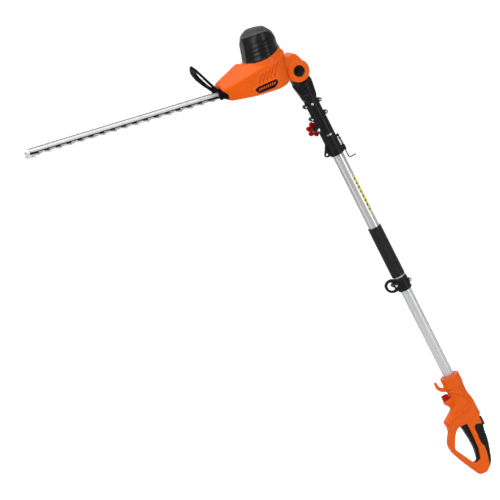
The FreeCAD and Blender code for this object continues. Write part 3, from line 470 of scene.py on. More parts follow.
class Volume:
    """Sample points of one piece in its own frame, in millimetres, and the mesh of a field given on them."""

    def __init__(self, place, x, y, z, step):
        self.place = place
        self.step = step * COARSE
        self.low = np.array([x[0], y[0], z[0]], float)
        self.counts = [int((high - low) / self.step) + 2 for low, high in (x, y, z)]
        axes = [low + self.step * np.arange(count) for low, count in zip(self.low, self.counts)]
        self.x = axes[0].reshape(-1, 1, 1)
        self.y = axes[1].reshape(1, -1, 1)
        self.z = axes[2].reshape(1, 1, -1)
        self.wide = np.abs(self.y)
        self.reach = np.hypot(self.x, self.y)

    def mesh(self, name, field, detail=0.015):
        """The zero surface of the field, with vertices drawn onto it and normals taken from it."""
        samples = np.empty(self.counts, np.float32)
        samples[...] = field
        for axis in range(3):
            for layer in (0, -1):
                face = [slice(None)] * 3
                face[axis] = layer
                samples[tuple(face)] = np.maximum(samples[tuple(face)], self.step * 0.5)
        grid = openvdb.FloatGrid(self.step * 3)
        grid.copyFromArray(samples)
        points, triangles, quads = grid.convertToPolygons(0.0, detail)
        for _ in range(2):
            value, slope = self.probe(samples, points)
            pull = value / np.maximum((slope ** 2).sum(1), 0.25)
            points = points - np.clip(slope * pull[:, None], -0.6, 0.6)
        value, slope = self.probe(samples, points)
        normals = slope / np.maximum(np.linalg.norm(slope, axis=1, keepdims=True), 1e-9)
        spots = points * self.step + self.low
        matrix = np.array(self.place)
        spots = spots @ matrix[:3, :3].T + matrix[:3, 3]
        normals = normals @ (matrix[:3, :3].T / MM)
        faces = triangles.tolist() + quads.tolist()
        first = np.array([face[:3] for face in faces])
        facing = np.cross(spots[first[:, 1]] - spots[first[:, 0]], spots[first[:, 2]] - spots[first[:, 0]])
        if (facing * normals[first[:, 0]]).sum() < 0:
            faces = [face[::-1] for face in faces]
        mesh = bpy.data.meshes.new(name)
        mesh.from_pydata(spots.tolist(), [], faces)
        mesh.validate()
        mesh.shade_smooth()
        if len(mesh.vertices) == len(normals):
            mesh.normals_split_custom_set_from_vertices(normals.tolist())
        return mesh

    def probe(self, samples, points):
        """The field's value and slope, in samples, at points given in samples."""
        limit = np.array(self.counts) - 2
        cell = np.clip(np.floor(points).astype(int), 0, limit)
        share = points - cell
        weights = [(1 - share[:, axis], share[:, axis]) for axis in range(3)]
        value = np.zeros(len(points))
        slope = np.zeros((len(points), 3))
        for dx, dy, dz in itertools.product((0, 1), repeat=3):
            sample = samples[cell[:, 0] + dx, cell[:, 1] + dy, cell[:, 2] + dz] / self.step
            wx, wy, wz = weights[0][dx], weights[1][dy], weights[2][dz]
            value += sample * wx * wy * wz
            slope[:, 0] += sample * (2 * dx - 1) * wy * wz
            slope[:, 1] += sample * (2 * dy - 1) * wx * wz
            slope[:, 2] += sample * (2 * dz - 1) * wx * wy
        return value, slope

    def piece(self, node, field, material, detail=0.015):
        """The piece that stands for a CAD node."""
        finish_piece(node + "_v", self.mesh(node + "_v", field, detail), material, [node])


def outline(u, v, points):
    """Signed distance from a closed outline in the plane of u and v."""
    nearest = None
    inside = False
    for (ax, ay), (bx, by) in zip(points, points[1:] + points[:1]):
        ex, ey = bx - ax, by - ay
        length = ex * ex + ey * ey
        if length < 1e-12:
            continue
        du, dv = u - ax, v - ay
        share = np.clip((du * ex + dv * ey) / length, 0, 1)
        gap = (du - ex * share) ** 2 + (dv - ey * share) ** 2
        nearest = gap if nearest is None else np.minimum(nearest, gap)
        crosses = (v >= min(ay, by)) & (v < max(ay, by))
        left = (ex * dv - ey * du) * (1 if ey > 0 else -1) > 0
        inside = inside ^ (crosses & left)
    return np.where(inside, -1.0, 1.0) * np.sqrt(nearest)


def ball(u, v, centre, radius):
    """Signed distance from a circle in the plane of u and v."""
    return np.hypot(u - centre[0], v - centre[1]) - radius


def rod(v, spot, radius):
    """A round rod across the tool, through a spot of x and z."""
    return ball(v.x, v.z, spot, radius)


def side_view(v, points, radius):
    """An outline seen from the side, its corners rounded."""
    return outline(v.x, v.z, filleted(points, radius))


def capsule(u, v, start, end, radius):
    """Signed distance from a line with round ends, radius to each side."""
    ex, ey = end[0] - start[0], end[1] - start[1]
    du, dv = u - start[0], v - start[1]
    share = np.clip((du * ex + dv * ey) / (ex * ex + ey * ey), 0, 1)
    return np.hypot(du - ex * share, dv - ey * share) - radius


def path_distance(u, v, points):
    """Distance from an open path."""
    nearest = capsule(u, v, points[0], points[1], 0)
    for start, end in zip(points[1:], points[2:]):
        nearest = np.minimum(nearest, capsule(u, v, start, end, 0))
    return nearest


def slab(w, low, high):
    """Everything between two levels of a coordinate."""
    return np.maximum(low - w, w - high)


def both(first, second):
    """What two fields share, with a sharp edge between them."""
    return np.maximum(first, second)


def cut(field, *tools):
    """The field less each tool, with sharp rims."""
    for tool in tools:
        field = np.maximum(field, -tool)
    return field


def meet(first, second, radius=0.0):
    """What two fields share, with the edge between them rounded."""
    a, b = first + radius, second + radius
    return np.minimum(np.maximum(a, b), 0) + np.hypot(np.maximum(a, 0), np.maximum(b, 0)) - radius


def block(v, x, y, z, radius=1.0):
    """A box from three (low, high) pairs, with rounded edges."""
    return meet(meet(slab(v.x, *x), slab(v.y, *y), radius), slab(v.z, *z), radius)


def join(first, second, fillet=0.0):
    """Two fields together, with a fillet in the corner between them."""
    if fillet <= 0:
        return np.minimum(first, second)
    blend = np.clip(0.5 + 0.5 * (second - first) / fillet, 0, 1)
    return second + (first - second) * blend - fillet * blend * (1 - blend)


def press(first, second, fillet=0.0):
    """What two fields share, with the crease between them softened."""
    return -join(-first, -second, fillet)


def carve(field, tool, fillet=0.6):
    """The field less the tool; fillet softens the rim of the hole."""
    return press(field, -tool, fillet)


def halves(name, depth):
    """Name, range of y and side of the near and far halves of a piece that is parted at the middle."""
    return (name + "_near", (-depth, 1), 1), (name + "_far", (-1, depth), -1)


def join_all(fields, fillet=0.0):
    total = fields[0]
    for field in fields[1:]:
        total = join(total, field, fillet)
    return total


# ---------------- head: housing

MOTOR = 77.5
HOUSING_SIDE = [
    (28, -17, 6), (36, -21, 8), (62, -25.5, 14), (126, -26.5, 20), (190, -21.5, 9), (204, -8, 9),
    (207, 8, 9), (204, 24, 6), (141, 57, 5), (128, 51.5, 3), (60, 66, 5), (30, 66, 6), (22, 60, 6),
    (20, 37, 4), (28, 34, 4),
]
HOUSING_PLAN = [(16, 0), (19, 10), (24, 22), (32, 33), (44, 43), (60, 50), (126, 50), (207, 31), (210, 0)]
CHEEK_ARM = [(0, -26), (29, -15), (38, -6), (38, 38), (13, 43), (1, 46), (-7, 38), (-17, 22), (-5, 0)]
HOOD = [(-7, 30), (-7, 38), (1, 46), (13, 43), (30, 42), (30, 30)]
BADGE = [(66, -7), (77, -17), (120, -20), (128, -10), (119, -5), (69, 1)]
VENTS = [
    [(114.5, 4), (109, 12), (98, 23.5)], [(102.5, 5), (98, 14), (88, 27)], [(92.5, 6), (87, 18), (76, 32.5)],
    [(82.5, 8), (75, 23), (64, 38.5)], [(71.5, 10), (64, 27), (53, 43)],
]
HEAD_SCREWS = [(38, 30), (50, -18), (150, -19), (150, 38), (193, 16)]
CAP_SLOPE = 0.2347
WALL = 3.0
CHEEK_RADIUS = 28.0
FORK_INSIDE = 13.4
BUTTON_HOLE = 14.3
HEAD_SCREW_Y = -21.6


def cap_seam(v):
    """Height of the slanting seam between the motor cap and the housing, scooped lower at both sides."""
    return 75 - (v.x - 30) * CAP_SLOPE - 8.0 * np.minimum(v.wide / 50, 1) ** 2


def housing(v, inset=0.0):
    """The wedge-shaped housing: side and plan outlines, a slanting facet and the collar round the cap."""
    side = side_view(v, HOUSING_SIDE, 6) + inset
    plan = outline(v.x, v.wide, filleted(HOUSING_PLAN, 8)) + inset
    body = meet(plan, side, 6)
    half = np.interp(v.x, [60, 126, 207], [50, 50, 31])
    crease = np.interp(v.x, [90, 128, 169, 198, 207], [40, 30, 18, 10, 8])
    facet = (v.wide - half) * 0.66 + (v.z - crease) * 0.75 + inset
    body = press(body, facet, 2.5)
    collar = ball(v.x, v.y, (MOTOR, 0), 49.8) + inset
    rim = (v.z - cap_seam(v) + 0.6) * 0.96 + inset
    collar = meet(collar, rim, 3.0)
    collar = cut(collar, v.z)
    return join(body, collar, 4)


def head_form(v):
    """The near and far halves of the head together, before they are parted."""
    outer = housing(v)
    inner = housing(v, WALL)
    walls = cut(outer, inner)
    walls = carve(walls, both(ball(v.x, v.y, (MOTOR, 0), 43.5), 38 - v.z), 1.0)
    arm = meet(side_view(v, CHEEK_ARM, 7), slab(v.wide, FORK_INSIDE, 25.0), 3.0)
    cheek = meet(rod(v, (0, 0), CHEEK_RADIUS), slab(v.wide, FORK_INSIDE, 27.0), 3.2)
    fork = join(arm, cheek, 2.5)
    fork = cut(fork, inner)
    hood = meet(side_view(v, HOOD, 4), slab(v.wide, -1, 15), 1.0)
    form = join(join(walls, fork, 5.0), both(hood, -inner), 1.5)
    step = both(np.abs(rod(v, (0, 0), 29.8)) - 1.0, both(24 - v.wide, 8 - v.x))
    form = carve(form, both(step, -(np.minimum(outer, fork) + 2.0)), 0.8)
    swing = meet(rod(v, (0, 0), 26.0), slab(v.wide, -1, 13.35), 0.3)
    form = cut(form, swing)
    for centre in HEAD_SCREWS:
        form = carve(form, both(rod(v, centre, 3.7), v.y - HEAD_SCREW_Y), 0.8)
    mouth = block(v, (194, 215), (-16, 16), (-13, 3.2), 1.0)
    form = carve(form, mouth, 1.0)
    return form


def near_details(v, form):
    """The button hole with its ring, and the badge's frame, on the near side."""
    form = carve(form, both(rod(v, (0, 0), BUTTON_HOLE), 15.9 - v.y), 1.2)
    ring = meet(rod(v, (0, 0), 17.2), slab(v.y, 20, 27.6), 0.7)
    form = join(form, both(ring, -(rod(v, (0, 0), BUTTON_HOLE))), 0.8)
    plate = side_view(v, BADGE, 3)
    border = meet(plate - 4.0, slab(v.y, 44, 50.9), 1.0)
    form = join(form, border, 1.5)
    form = carve(form, both(plate - 0.4, 49.9 - v.y), 0.5)
    return form


def cooling_slots(v, form):
    """Leaf-shaped cooling slots, each with a soft lip, on both flanks."""
    skin = housing(v)
    for curve in VENTS:
        line = path_distance(v.x, v.z, curve)
        high = (v.z - curve[0][1]) / (curve[2][1] - curve[0][1])
        leaf = line - 0.7 - 1.3 * np.sin(np.clip(high, 0, 1) * math.pi) ** 0.7
        lip = np.hypot(np.maximum(leaf - 0.6, 0), skin) - 1.1
        form = join(form, both(lip, 40 - v.wide), 0.8)
        form = carve(form, both(both(leaf, 40 - v.wide), -(skin + 1.7)), 0.5)
    return form


def make_head():
    near = Volume(HEAD, (-30, 211), (-1.0, 53), (-31, 79), 0.7)
    form = cooling_slots(near, near_details(near, head_form(near)))
    near.piece("head_shell_near", meet(form, 0.10 - near.y, 0.5), ORANGE)
    far = Volume(HEAD, (-30, 211), (-53, 1.0), (-31, 79), 0.7)
    form = cooling_slots(far, head_form(far))
    far.piece("head_shell_far", meet(form, far.y + 0.10, 0.5), ORANGE)
    parts = screws(HEAD_SCREWS, HEAD_SCREW_Y, -1, (3.3, 2.3, 1.6), (1.55, 26, 27.5))
    assemble("head_screws", HEAD, parts, PLATED)


def make_badge():
    """A blank plate with a raised rim and a row of plain slanting bars in place of any lettering."""
    v = Volume(HEAD, (62, 132), (48.5, 53), (-24, 5), 0.35)
    plate = side_view(v, BADGE, 3)
    form = meet(plate, slab(v.y, 49.9, 52.0), 0.6)
    form = carve(form, both(plate + 2.0, 51.2 - v.y), 0.4)
    v.piece("name_badge", form, GLOSS)
    v = Volume(HEAD, (62, 132), (50.5, 52.6), (-24, 5), 0.3)
    bars = []
    for index in range(8):
        x = 75 + index * 6.0
        z = -6.6 - (x - 75) * 0.13
        bar = capsule(v.x, v.z, (x + 1.2, z - 2.4), (x - 1.2, z + 2.4), 1.15)
        bars.append(meet(bar, slab(v.y, 51.0, 51.9), 0.3))
    trim("badge_bars", v.mesh("badge_bars", join_all(bars)), ORANGE, "name_badge")


# ---------------- head: motor cap

CAP_HEIGHTS = [40, 60, 97, 113, 128.4]
CAP_ENDS = [47.4, 47.5, 45.2, 39.5, 23.0]
CAP_SIDE_HEIGHTS = [40, 60, 97, 119.5, 128.8]
CAP_SIDES = [47.4, 47.5, 46.0, 41.0, 25.0]
LOUVRE_PITCH = 10.3
LOUVRE_FOOT = 58.0


def cap_outer(v):
    """The outside of the motor cap, and the height where its bevel starts: higher at the sides."""
    across = v.x - MOTOR
    reach = np.hypot(across, v.y)
    sideways = (v.y / np.maximum(reach, 1)) ** 2
    ends = np.interp(v.z, CAP_HEIGHTS, CAP_ENDS)
    sides = np.interp(v.z, CAP_SIDE_HEIGHTS, CAP_SIDES)
    wall = (reach - (ends + (sides - ends) * sideways)) * 0.8
    wall = press(wall, v.z - 128.6, 1.0)
    edge = 113 + 6.5 * sideways
    return press(wall, across - 44.0 + (v.z - 60) * 0.07, 1.0), edge


def make_cap():
    """The cap over the motor: a tapered drum with a ribbed crown and a window of louvres on each side."""
    v = Volume(HEAD, (MOTOR - 50, MOTOR + 50), (-50, 50), (44, 131), 0.6)
    across = v.x - MOTOR
    around = np.degrees(np.arctan2(v.wide, across))
    wall, _ = cap_outer(v)
    lip = slab(v.z - cap_seam(v), 0.6, 4.0)
    outer = join(wall, both(wall - 0.8, lip), 0.6)
    form = cut(outer, wall + 4.4)
    form = both(form, cap_seam(v) + 0.25 - v.z)
    front = 44 - (104 - v.z) * 0.27
    window = both((front - around) * 0.8, (around - 116) * 0.8)
    level = v.z + 0.13 * (across - 20)
    window = meet(window, slab(level, LOUVRE_FOOT, LOUVRE_FOOT + 4 * LOUVRE_PITCH + 2), 1.5)
    ramp = ((level - LOUVRE_FOOT) / LOUVRE_PITCH) % 1
    ramp = np.where(level > LOUVRE_FOOT + 4 * LOUVRE_PITCH, 1.0, ramp)
    depth = 0.2 + 2.4 * ramp
    form = carve(form, both(window, -(wall + depth)), 0.5)
    gap = both(window + 1.2, (np.abs(ramp - 0.88) - 0.1) * LOUVRE_PITCH)
    form = carve(form, both(gap, -(wall + 2.7)), 0.3)
    v.piece("motor_cap", form, CAP)
    v = Volume(HEAD, (MOTOR - 46, MOTOR + 46), (-46, 46), (108, 131.5), 0.5)
    wall, edge = cap_outer(v)
    crown = meet(wall - 0.6, edge + 0.4 - v.z, 0.3)
    crown = cut(crown, wall + 1.2)
    rib = (np.abs((v.y / 2.6) % 1 - 0.5) - 0.2) * 2.6
    ribs = both(both(rib, -(wall + 0.35)), edge + 3.5 - v.z)
    crown = carve(crown, ribs, 0.3)
    trim("motor_cap_crown", v.mesh("motor_cap_crown", crown), CROWN, "motor_cap")


# ---------------- head: guard and button

GUARD = [(0, 31), (20, 41), (44, 46.5), (66, 40), (80, 22), (90, 3)]
GUARD_INSIDE = [(6, 20), (20, 27), (45, 28), (60, 22), (70, 8)]
GUARD_CLIP = [(211, 13), (196, 1), (184, -10), (184, -16.5), (195, -15), (211, -9)]
GUARD_ROOT = (209.5, 8)
GUARD_LEAN = math.radians(57)


def make_guard():
    """The arched hand guard: a leaning band with a grooved rim, on a collar with a clip at each side."""
    v = Volume(HEAD, (178, 264), (-50, 50), (-20, 90), 0.7)
    x, z = v.x - GUARD_ROOT[0], v.z - GUARD_ROOT[1]
    along = x * math.cos(GUARD_LEAN) + z * math.sin(GUARD_LEAN)
    above = -x * math.sin(GUARD_LEAN) + z * math.cos(GUARD_LEAN)
    above = above + 6 * (v.wide / 46) ** 2
    outside = filleted([(-4, 29)] + GUARD + [(90, -20), (-4, -20)], 7)
    inside = filleted([(-12, 18)] + GUARD_INSIDE + [(70, -20), (-12, -20)], 8)
    band = both(outline(along, v.wide, outside), -outline(along, v.wide, inside))
    arch = meet(band, np.abs(above) - 3.0, 1.5)
    groove = both(np.abs(band + 4.5) - 1.4, 2.3 - above)
    arch = carve(arch, groove, 0.6)
    collar = block(v, (207.2, 211.5), (-34, 34), (-13, 15), 1.6)
    clip = meet(side_view(v, GUARD_CLIP, 3), slab(v.wide, 28, 34.8), 1.2)
    form = join_all([arch, collar, clip], 2.0)
    form = carve(form, block(v, (150, 300), (-17.4, 17.4), (-14, 5), 1.0), 0.8)
    form = cut(form, housing(v) - 0.15)
    v.piece("hand_guard", form, GUARD_BLACK)


def make_button():
    """The tilt lock's push button: a ring with a dished middle."""
    v = Volume(HEAD, (-16, 16), (18.5, 31), (-16, 16), 0.35)
    reach = np.hypot(v.x, v.z)
    form = outline(reach, v.y, filleted([
        (0, 20.6), (13.7, 20.6), (13.7, 28.2), (12.6, 29.9), (11.2, 29.9), (8.5, 27.4), (5.6, 26.6),
        (5.4, 28.9), (4.4, 29.7), (0, 29.9),
    ], 0.9))
    hollow = outline(reach, v.y, [(-1, 19), (8.6, 19), (8.6, 25.6), (-1, 25.6)])
    form = cut(form, hollow)
    v.piece("tilt_lock_button", form, GLOSS)


# ---------------- head: blades

BOLTS = [172, 290, 410, 530, 655]
BAR_TOP, BAR_BOTTOM = 1.5, -5.5
BAR_START, BAR_END = 152.0, 707.0
BAR_HALF = 14
BLADE_THICK, BLADE_GAP = 2.5, 0.3
PITCH = 28.7
LAST_TOOTH = 690.0
BLADE_END = 698
GEAR = 112.5


def blade_outline(front, count):
    """One side of a blade from its heel to its nose, with a straight-sided tooth at each pitch."""
    side = [(GEAR - 27, 0), (GEAR - 27, 18.5), (GEAR - 25.5, 20), (GEAR + 26, 20), (GEAR + 32, 13.5)]
    for index in range(count - 1, -1, -1):
        middle = front - index * PITCH
        side += [(middle - 8.6, 13.5), (middle - 5.6, 17.5), (middle - 3.6, 31.0), (middle - 2.2, 33.4),
                 (middle, 34.0), (middle + 2.2, 33.4), (middle + 3.6, 31.0), (middle + 5.6, 17.5)]
        if middle + 8.6 < BLADE_END:
            side.append((middle + 8.6, 13.5))
    return [(min(x, BLADE_END), y) for x, y in side] + [(BLADE_END, 12)]


def make_blade(node, top, front, count, material):
    """A toothed strip with its bolt slots and crank window, its edges ground to a bevel along every tooth."""
    half = blade_outline(front, count)
    loops = [half + [(x, -y) for x, y in reversed(half[1:])]]
    window = (GEAR, 20.5, 12.6, 2.5, 4)
    slots = [(spot, 11.5, 3, 2.9, 5) for spot in BOLTS]
    for spot, length, width, radius, steps in [window] + slots:
        low, high = spot - length, spot + length
        loops.append(filleted([(low, -width), (high, -width), (high, width), (low, width)], radius, steps))
    edit = bmesh.new()
    edges = []
    for loop in loops:
        ring = [edit.verts.new((x, y, 0)) for x, y in loop]
        edges += [edit.edges.new(pair) for pair in zip(ring, ring[1:] + ring[:1])]
    bmesh.ops.triangle_fill(edit, use_beauty=True, use_dissolve=False, edges=edges)
    faces = list(edit.faces)
    raised = bmesh.ops.extrude_face_region(edit, geom=faces)
    lifted = [item for item in raised["geom"] if isinstance(item, bmesh.types.BMVert)]
    bmesh.ops.translate(edit, verts=lifted, vec=(0, 0, BLADE_THICK))
    bmesh.ops.translate(edit, verts=edit.verts, vec=(0, 0, top - BLADE_THICK))
    bmesh.ops.recalc_face_normals(edit, faces=edit.faces)
    rims = [edge for edge in edit.edges if edge.is_manifold and edge.calc_face_angle(0) > 1.2
            and abs(edge.verts[0].co.z - edge.verts[1].co.z) < 0.01]
    bmesh.ops.bevel(edit, geom=rims, offset=0.55, offset_type="OFFSET", segments=1, affect="EDGES",
                    clamp_overlap=True)
    for vert in edit.verts:
        vert.co = HEAD @ vert.co
    mesh = bpy.data.meshes.new(node + "_v")
    edit.to_mesh(mesh)
    edit.free()
    smooth_edges(mesh, 20)
    finish_piece(node + "_v", mesh, material, [node])


def strip(section, low, high):
    """Points and faces of a closed section of (y, z) points drawn along the blade from low to high."""
    rounded = filleted(section, 0.35, 2)
    count = len(rounded)
    points = [(x, y, z) for x in (low, high) for y, z in rounded]
    faces = []
    for index in range(count):
        following = (index + 1) % count
        faces.append([index, following, count + following, count + index])
    faces.append(list(range(count))[::-1])
    faces.append(list(range(count, 2 * count)))
    return points, faces


def make_bar():
    """The folded guide bar: a channel with rounded shoulders, and its closed rounded nose."""
    v = Volume(HEAD, (148, 720), (-17, 17), (-8, 4), 0.6)
    section = meet(slab(v.y, -BAR_HALF, BAR_HALF), slab(v.z, BAR_BOTTOM, BAR_TOP), 1.8)
    section = both(section, BAR_BOTTOM - v.z)
    nose = outline(v.x, v.y, filleted([
        (BAR_START, -BAR_HALF, 2), (BAR_END, -BAR_HALF, 9), (BAR_END, BAR_HALF, 9), (BAR_START, BAR_HALF, 2),
    ], 2))
    form = meet(section, nose, 1.2)
    hollow = both(both(slab(v.y, -12, 12), v.z - BAR_TOP + 2), v.x - (BAR_END - 4))
    form = cut(form, hollow)
    for spot in BOLTS:
        dish = both(ball(v.x, v.y, (spot, 0), 4.6), BAR_TOP - 0.45 - v.z)
        form = carve(form, dish, 0.5)
        form = cut(form, ball(v.x, v.y, (spot, 0), 2.6))
    bead = both(np.abs(v.wide - 8.4) - 0.5, BAR_TOP - 0.35 - v.z)
    bead = both(bead, slab(v.x, 215, 690))
    form = carve(form, bead, 0.4)
    v.piece("blade_guide_bar", form, BAR, detail=0.03)
    low, high = 214, BAR_END - 5
    # A dark strip along the far shoulder of the bar: painted shade where the shoulder turns away from the
    # light.
    shoulder_shade = [(-14.5, BAR_TOP - 1.8), (-11.6, BAR_TOP - 0.4), (-11.9, BAR_TOP + 1.3), (-14.3, BAR_TOP + 1.3)]
    trim("bar_shoulder_shade", build_mesh("bar_shoulder_shade", HEAD, *strip(shoulder_shade, low, high)), WIRE, "blade_guide_bar")
    # Black rails along both lower edges of the bar, reaching lower at its nose end: painted shade in the gap
    # between the bar and the blades.
    parts = []
    lip = (14.4, -0.2, 2.0, low, high)
    heel = (14.5, -3.4, 2.6, high - 2, high + 6.5)
    for side in (-1, 1):
        for edge, foot, top, start, end in (lip, heel):
            levels = ((12.6, foot), (edge, foot), (edge, top), (12.6, top))
            parts.append(strip([(side * y, BAR_BOTTOM + z) for y, z in levels], start, end))
    trim("bar_shadow_rail", build_mesh("bar_shadow_rail", HEAD, *joined(parts)), BLACK, "blade_guide_bar")


def make_blade_unit():
    upper_top = BAR_BOTTOM - BLADE_GAP
    lower_top = upper_top - BLADE_THICK - BLADE_GAP
    make_blade("upper_blade", upper_top, LAST_TOOTH - 12, 16, OXIDE_AND_SHADE)
    make_blade("lower_blade", lower_top, LAST_TOOTH, 17, KNIFE)
    make_bar()
    parts = []
    foot = lower_top - BLADE_THICK
    for spot in BOLTS:
        parts.append(turned([
            (0, foot - 2.4), (4.6, foot - 2.4), (5.2, foot - 1.9), (5.2, foot - 0.32), (2.5, foot - 0.32),
            (2.5, BAR_BOTTOM), (5.0, BAR_BOTTOM), (5.0, BAR_TOP - 2.02), (2.5, BAR_TOP - 2.02),
            (2.5, BAR_TOP - 0.1), (1.6, BAR_TOP + 0.25), (0, BAR_TOP + 0.35),
        ], (spot, 0, 0), (0, 0, 1), 32))
    assemble("blade_bolts", HEAD, parts, PLATED)
    v = Volume(HEAD, (690, 720), (-17, 17), (-18, 2), 0.4)
    tip = [(707.3, -15, 2), (715, -14, 7), (715.6, 0, 4), (715, 14, 7), (707.3, 15, 2)]
    nose = outline(v.x, v.y, filleted(tip, 3))
    form = meet(nose, slab(v.z, -16.5, 0), 1.6)
    heel = block(v, (693, 712), (-13, 13), (-16.5, -13.9), 0.9)
    form = join(form, heel, 1.0)
    form = carve(form, block(v, (712, 720), (-7, 7), (-10, -5), 1.0), 0.8)
    v.piece("tip_guard", form, BAR)


# ---------------- neck and coupling

TUBE_RADIUS = 14.0
TUBE_LOW, TUBE_HIGH = -905, -196
SLEEVE_RADIUS = 18.0

NECK_SIDE = [
    (-25, -30, 3), (24, -30, 3), (25, -36, 4), (21, -62, 6), (17.5, -78, 4), (-17.5, -78, 4), (-19.5, -64, 8),
    (-25.5, -34, 4),
]
EARS = [(-20, -92.5), (20, -92.5), (-20, -127), (20, -127)]
RIVET = (-5, -91)


def neck_form(v):
    """Both halves of the neck together: tongue, shoulder, barrel, screw ears and rivet seat."""
    tongue = meet(rod(v, (0, 0), 25.0), slab(v.wide, -1, 13.0), 1.2)
    root = meet(slab(v.x, -22, 22), both(slab(v.z, -36, -10), v.wide - 13.0), 1.0)
    half = np.interp(v.z, [-78, -62, -36, -30], [17.2, 16.3, 15.6, 15.0])
    shoulder = meet(side_view(v, NECK_SIDE, 4), v.wide - half, 6.0)
    ridge = (np.abs(v.x - 3) * 0.42 + v.wide * 0.907) - 15.8
    shoulder = press(shoulder, ridge, 0.6)
    barrel = meet(v.reach - 17.5, slab(v.z, -133.6, -66), 0.8)
    form = join(join(tongue, root, 1.5), join(shoulder, barrel, 4.0), 1.0)
    seat = rod(v, RIVET, 5.2)
    form = join(form, meet(seat, slab(v.wide, 10, 17.9), 0.6), 1.0)
    for x, z in EARS:
        ear = meet(rod(v, (x, z), 5.3), slab(v.wide, -1, 8.0), 1.0)
        web = block(v, (min(x, x * 0.6), max(x, x * 0.6)), (-5, 5), (z - 4, z + 4), 0.8)
        form = join(form, join(ear, web, 1.0), 1.4)
        form = cut(form, rod(v, (x, z), 1.75))
        form = carve(form, both(rod(v, (x, z), 3.0), 7.6 - v.wide), 0.3)
    form = cut(form, both(v.reach - 11.35, v.z + 62))
    form = cut(form, both(v.reach - 4.0, slab(v.z, -70, -38)), rod(v, (0, 0), 5.1))
    form = cut(form, rod(v, RIVET, 3.02))
    band = meet(np.abs(v.reach - 17.6) - 0.35, slab(v.z, -132.5, -128), 0.2)
    return join(form, band, 0.3)


def make_neck():
    """The neck's half shells with their screws, and the rivet that holds the spigot."""
    for name, y, side in halves("neck_shell", 20):
        v = Volume(POLE, (-29, 29), y, (-137, 27), 0.55)
        form = meet(neck_form(v), v.y * side + 0.06, 0.4)
        v.piece(name, form, BLACK)
    parts = screws(EARS, -8.0, -1, (2.7, 2.0, 1.3), (1.68, 14.5, 15.5))
    assemble("neck_screws", POLE, parts, PLATED)
    ends = [
        [(0, -18.9), (1.6, -18.8), (2.9, -18.3), (3.3, -17.8), (3.3, -17.4), (2.95, -17.2), (2.95, -12.5),
         (0, -12.5)],
        [(0, 12.5), (2.95, 12.5), (2.95, 17.2), (3.3, 17.4), (3.1, 18.0), (1.8, 18.4), (0, 18.5)],
    ]
    parts = [turned(end, (RIVET[0], 0, RIVET[1]), (0, 1, 0), 40) for end in ends]
    assemble("spigot_rivet", POLE, parts, PLATED)


KNOB = (-19.0, -157.5)
EYE = (-25, -224)
GUSSET = [(-12, -198), (-18, -200), (-31.5, -222), (-31.5, -226), (-26, -231), (-12, -232)]
PIN_X = 23.0
LUG = (-235.0, -221.0)


def sight(v):
    """The outline of the sleeve's oval sight window."""
    return capsule(v.x, v.z, (-6, -179.2), (5, -179.6), 2.3)


def make_sleeve():
    """The coupling sleeve: split clamp, oval window, grip ribs, hanging eye and the release pin's lugs."""
    v = Volume(POLE, (-35, 30), (-21, 21), (-238, -131), 0.55)
    tube = meet(v.reach - SLEEVE_RADIUS, slab(v.z, -235, -134), 1.0)
    collar = meet(v.reach - SLEEVE_RADIUS, slab(v.z, -235, -229), 0.8)
    form = join(tube, collar, 0.5)
    x, z = KNOB
    boss = meet(rod(v, (x, z), 6.4), slab(v.y, -8, 17.6), 1.2)
    web = block(v, (x, -8), (-8, 17.6), (z - 6.4, z + 6.4), 1.6)
    form = join(form, join(boss, web, 1.0), 2.5)
    gusset = side_view(v, GUSSET, 3)
    eye = meet(rod(v, EYE, 6.9), v.wide - 2.5, 0.8)
    form = join(form, join(meet(gusset, v.wide - 2.4, 0.8), eye, 1.0), 1.5)
    lower = block(v, (13, 26.5), (-4, 4), LUG, 1.2)
    upper = block(v, (13, 25), (-2.8, 2.8), (-197, -191), 1.0)
    form = join(form, join(lower, upper), 1.5)
    for place in (-205, -213, -221):
        band = both(np.abs(v.reach - 18.2) - 0.45, np.abs(v.z - place) - 1.2)
        form = join(form, both(band, v.x - 11), 0.5)
    form = carve(form, both(both(sight(v), v.y), 15.6 - v.reach), 0.6)
    form = cut(form, both(v.reach - 11.65, slab(v.z, TUBE_HIGH, -130)))
    form = cut(form, both(v.reach - TUBE_RADIUS, v.z - TUBE_HIGH))
    split = both(slab(v.x, -60, -9), both(v.wide - 1.5, slab(v.z, -178, -130)))
    form = carve(form, split, 0.6)
    form = cut(form, rod(v, (x, z), 3.1))
    form = carve(form, both(rod(v, (x, z), 5.0), v.y + 8.0), 0.4)
    form = carve(form, rod(v, EYE, 2.95), 0.6)
    form = cut(form, both(np.hypot(v.x - PIN_X, v.y) - 1.9, v.z + 185))
    v.piece("coupling_sleeve", form, BLACK)
    v = Volume(POLE, (-10, 12), (-19, -12), (-185, -170), 0.3)
    plate = meet(sight(v) + 0.2, slab(v.reach, 15.5, 17.2), 0.4)
    trim("sight_plate", v.mesh("sight_plate", plate), STEEL, "coupling_sleeve")


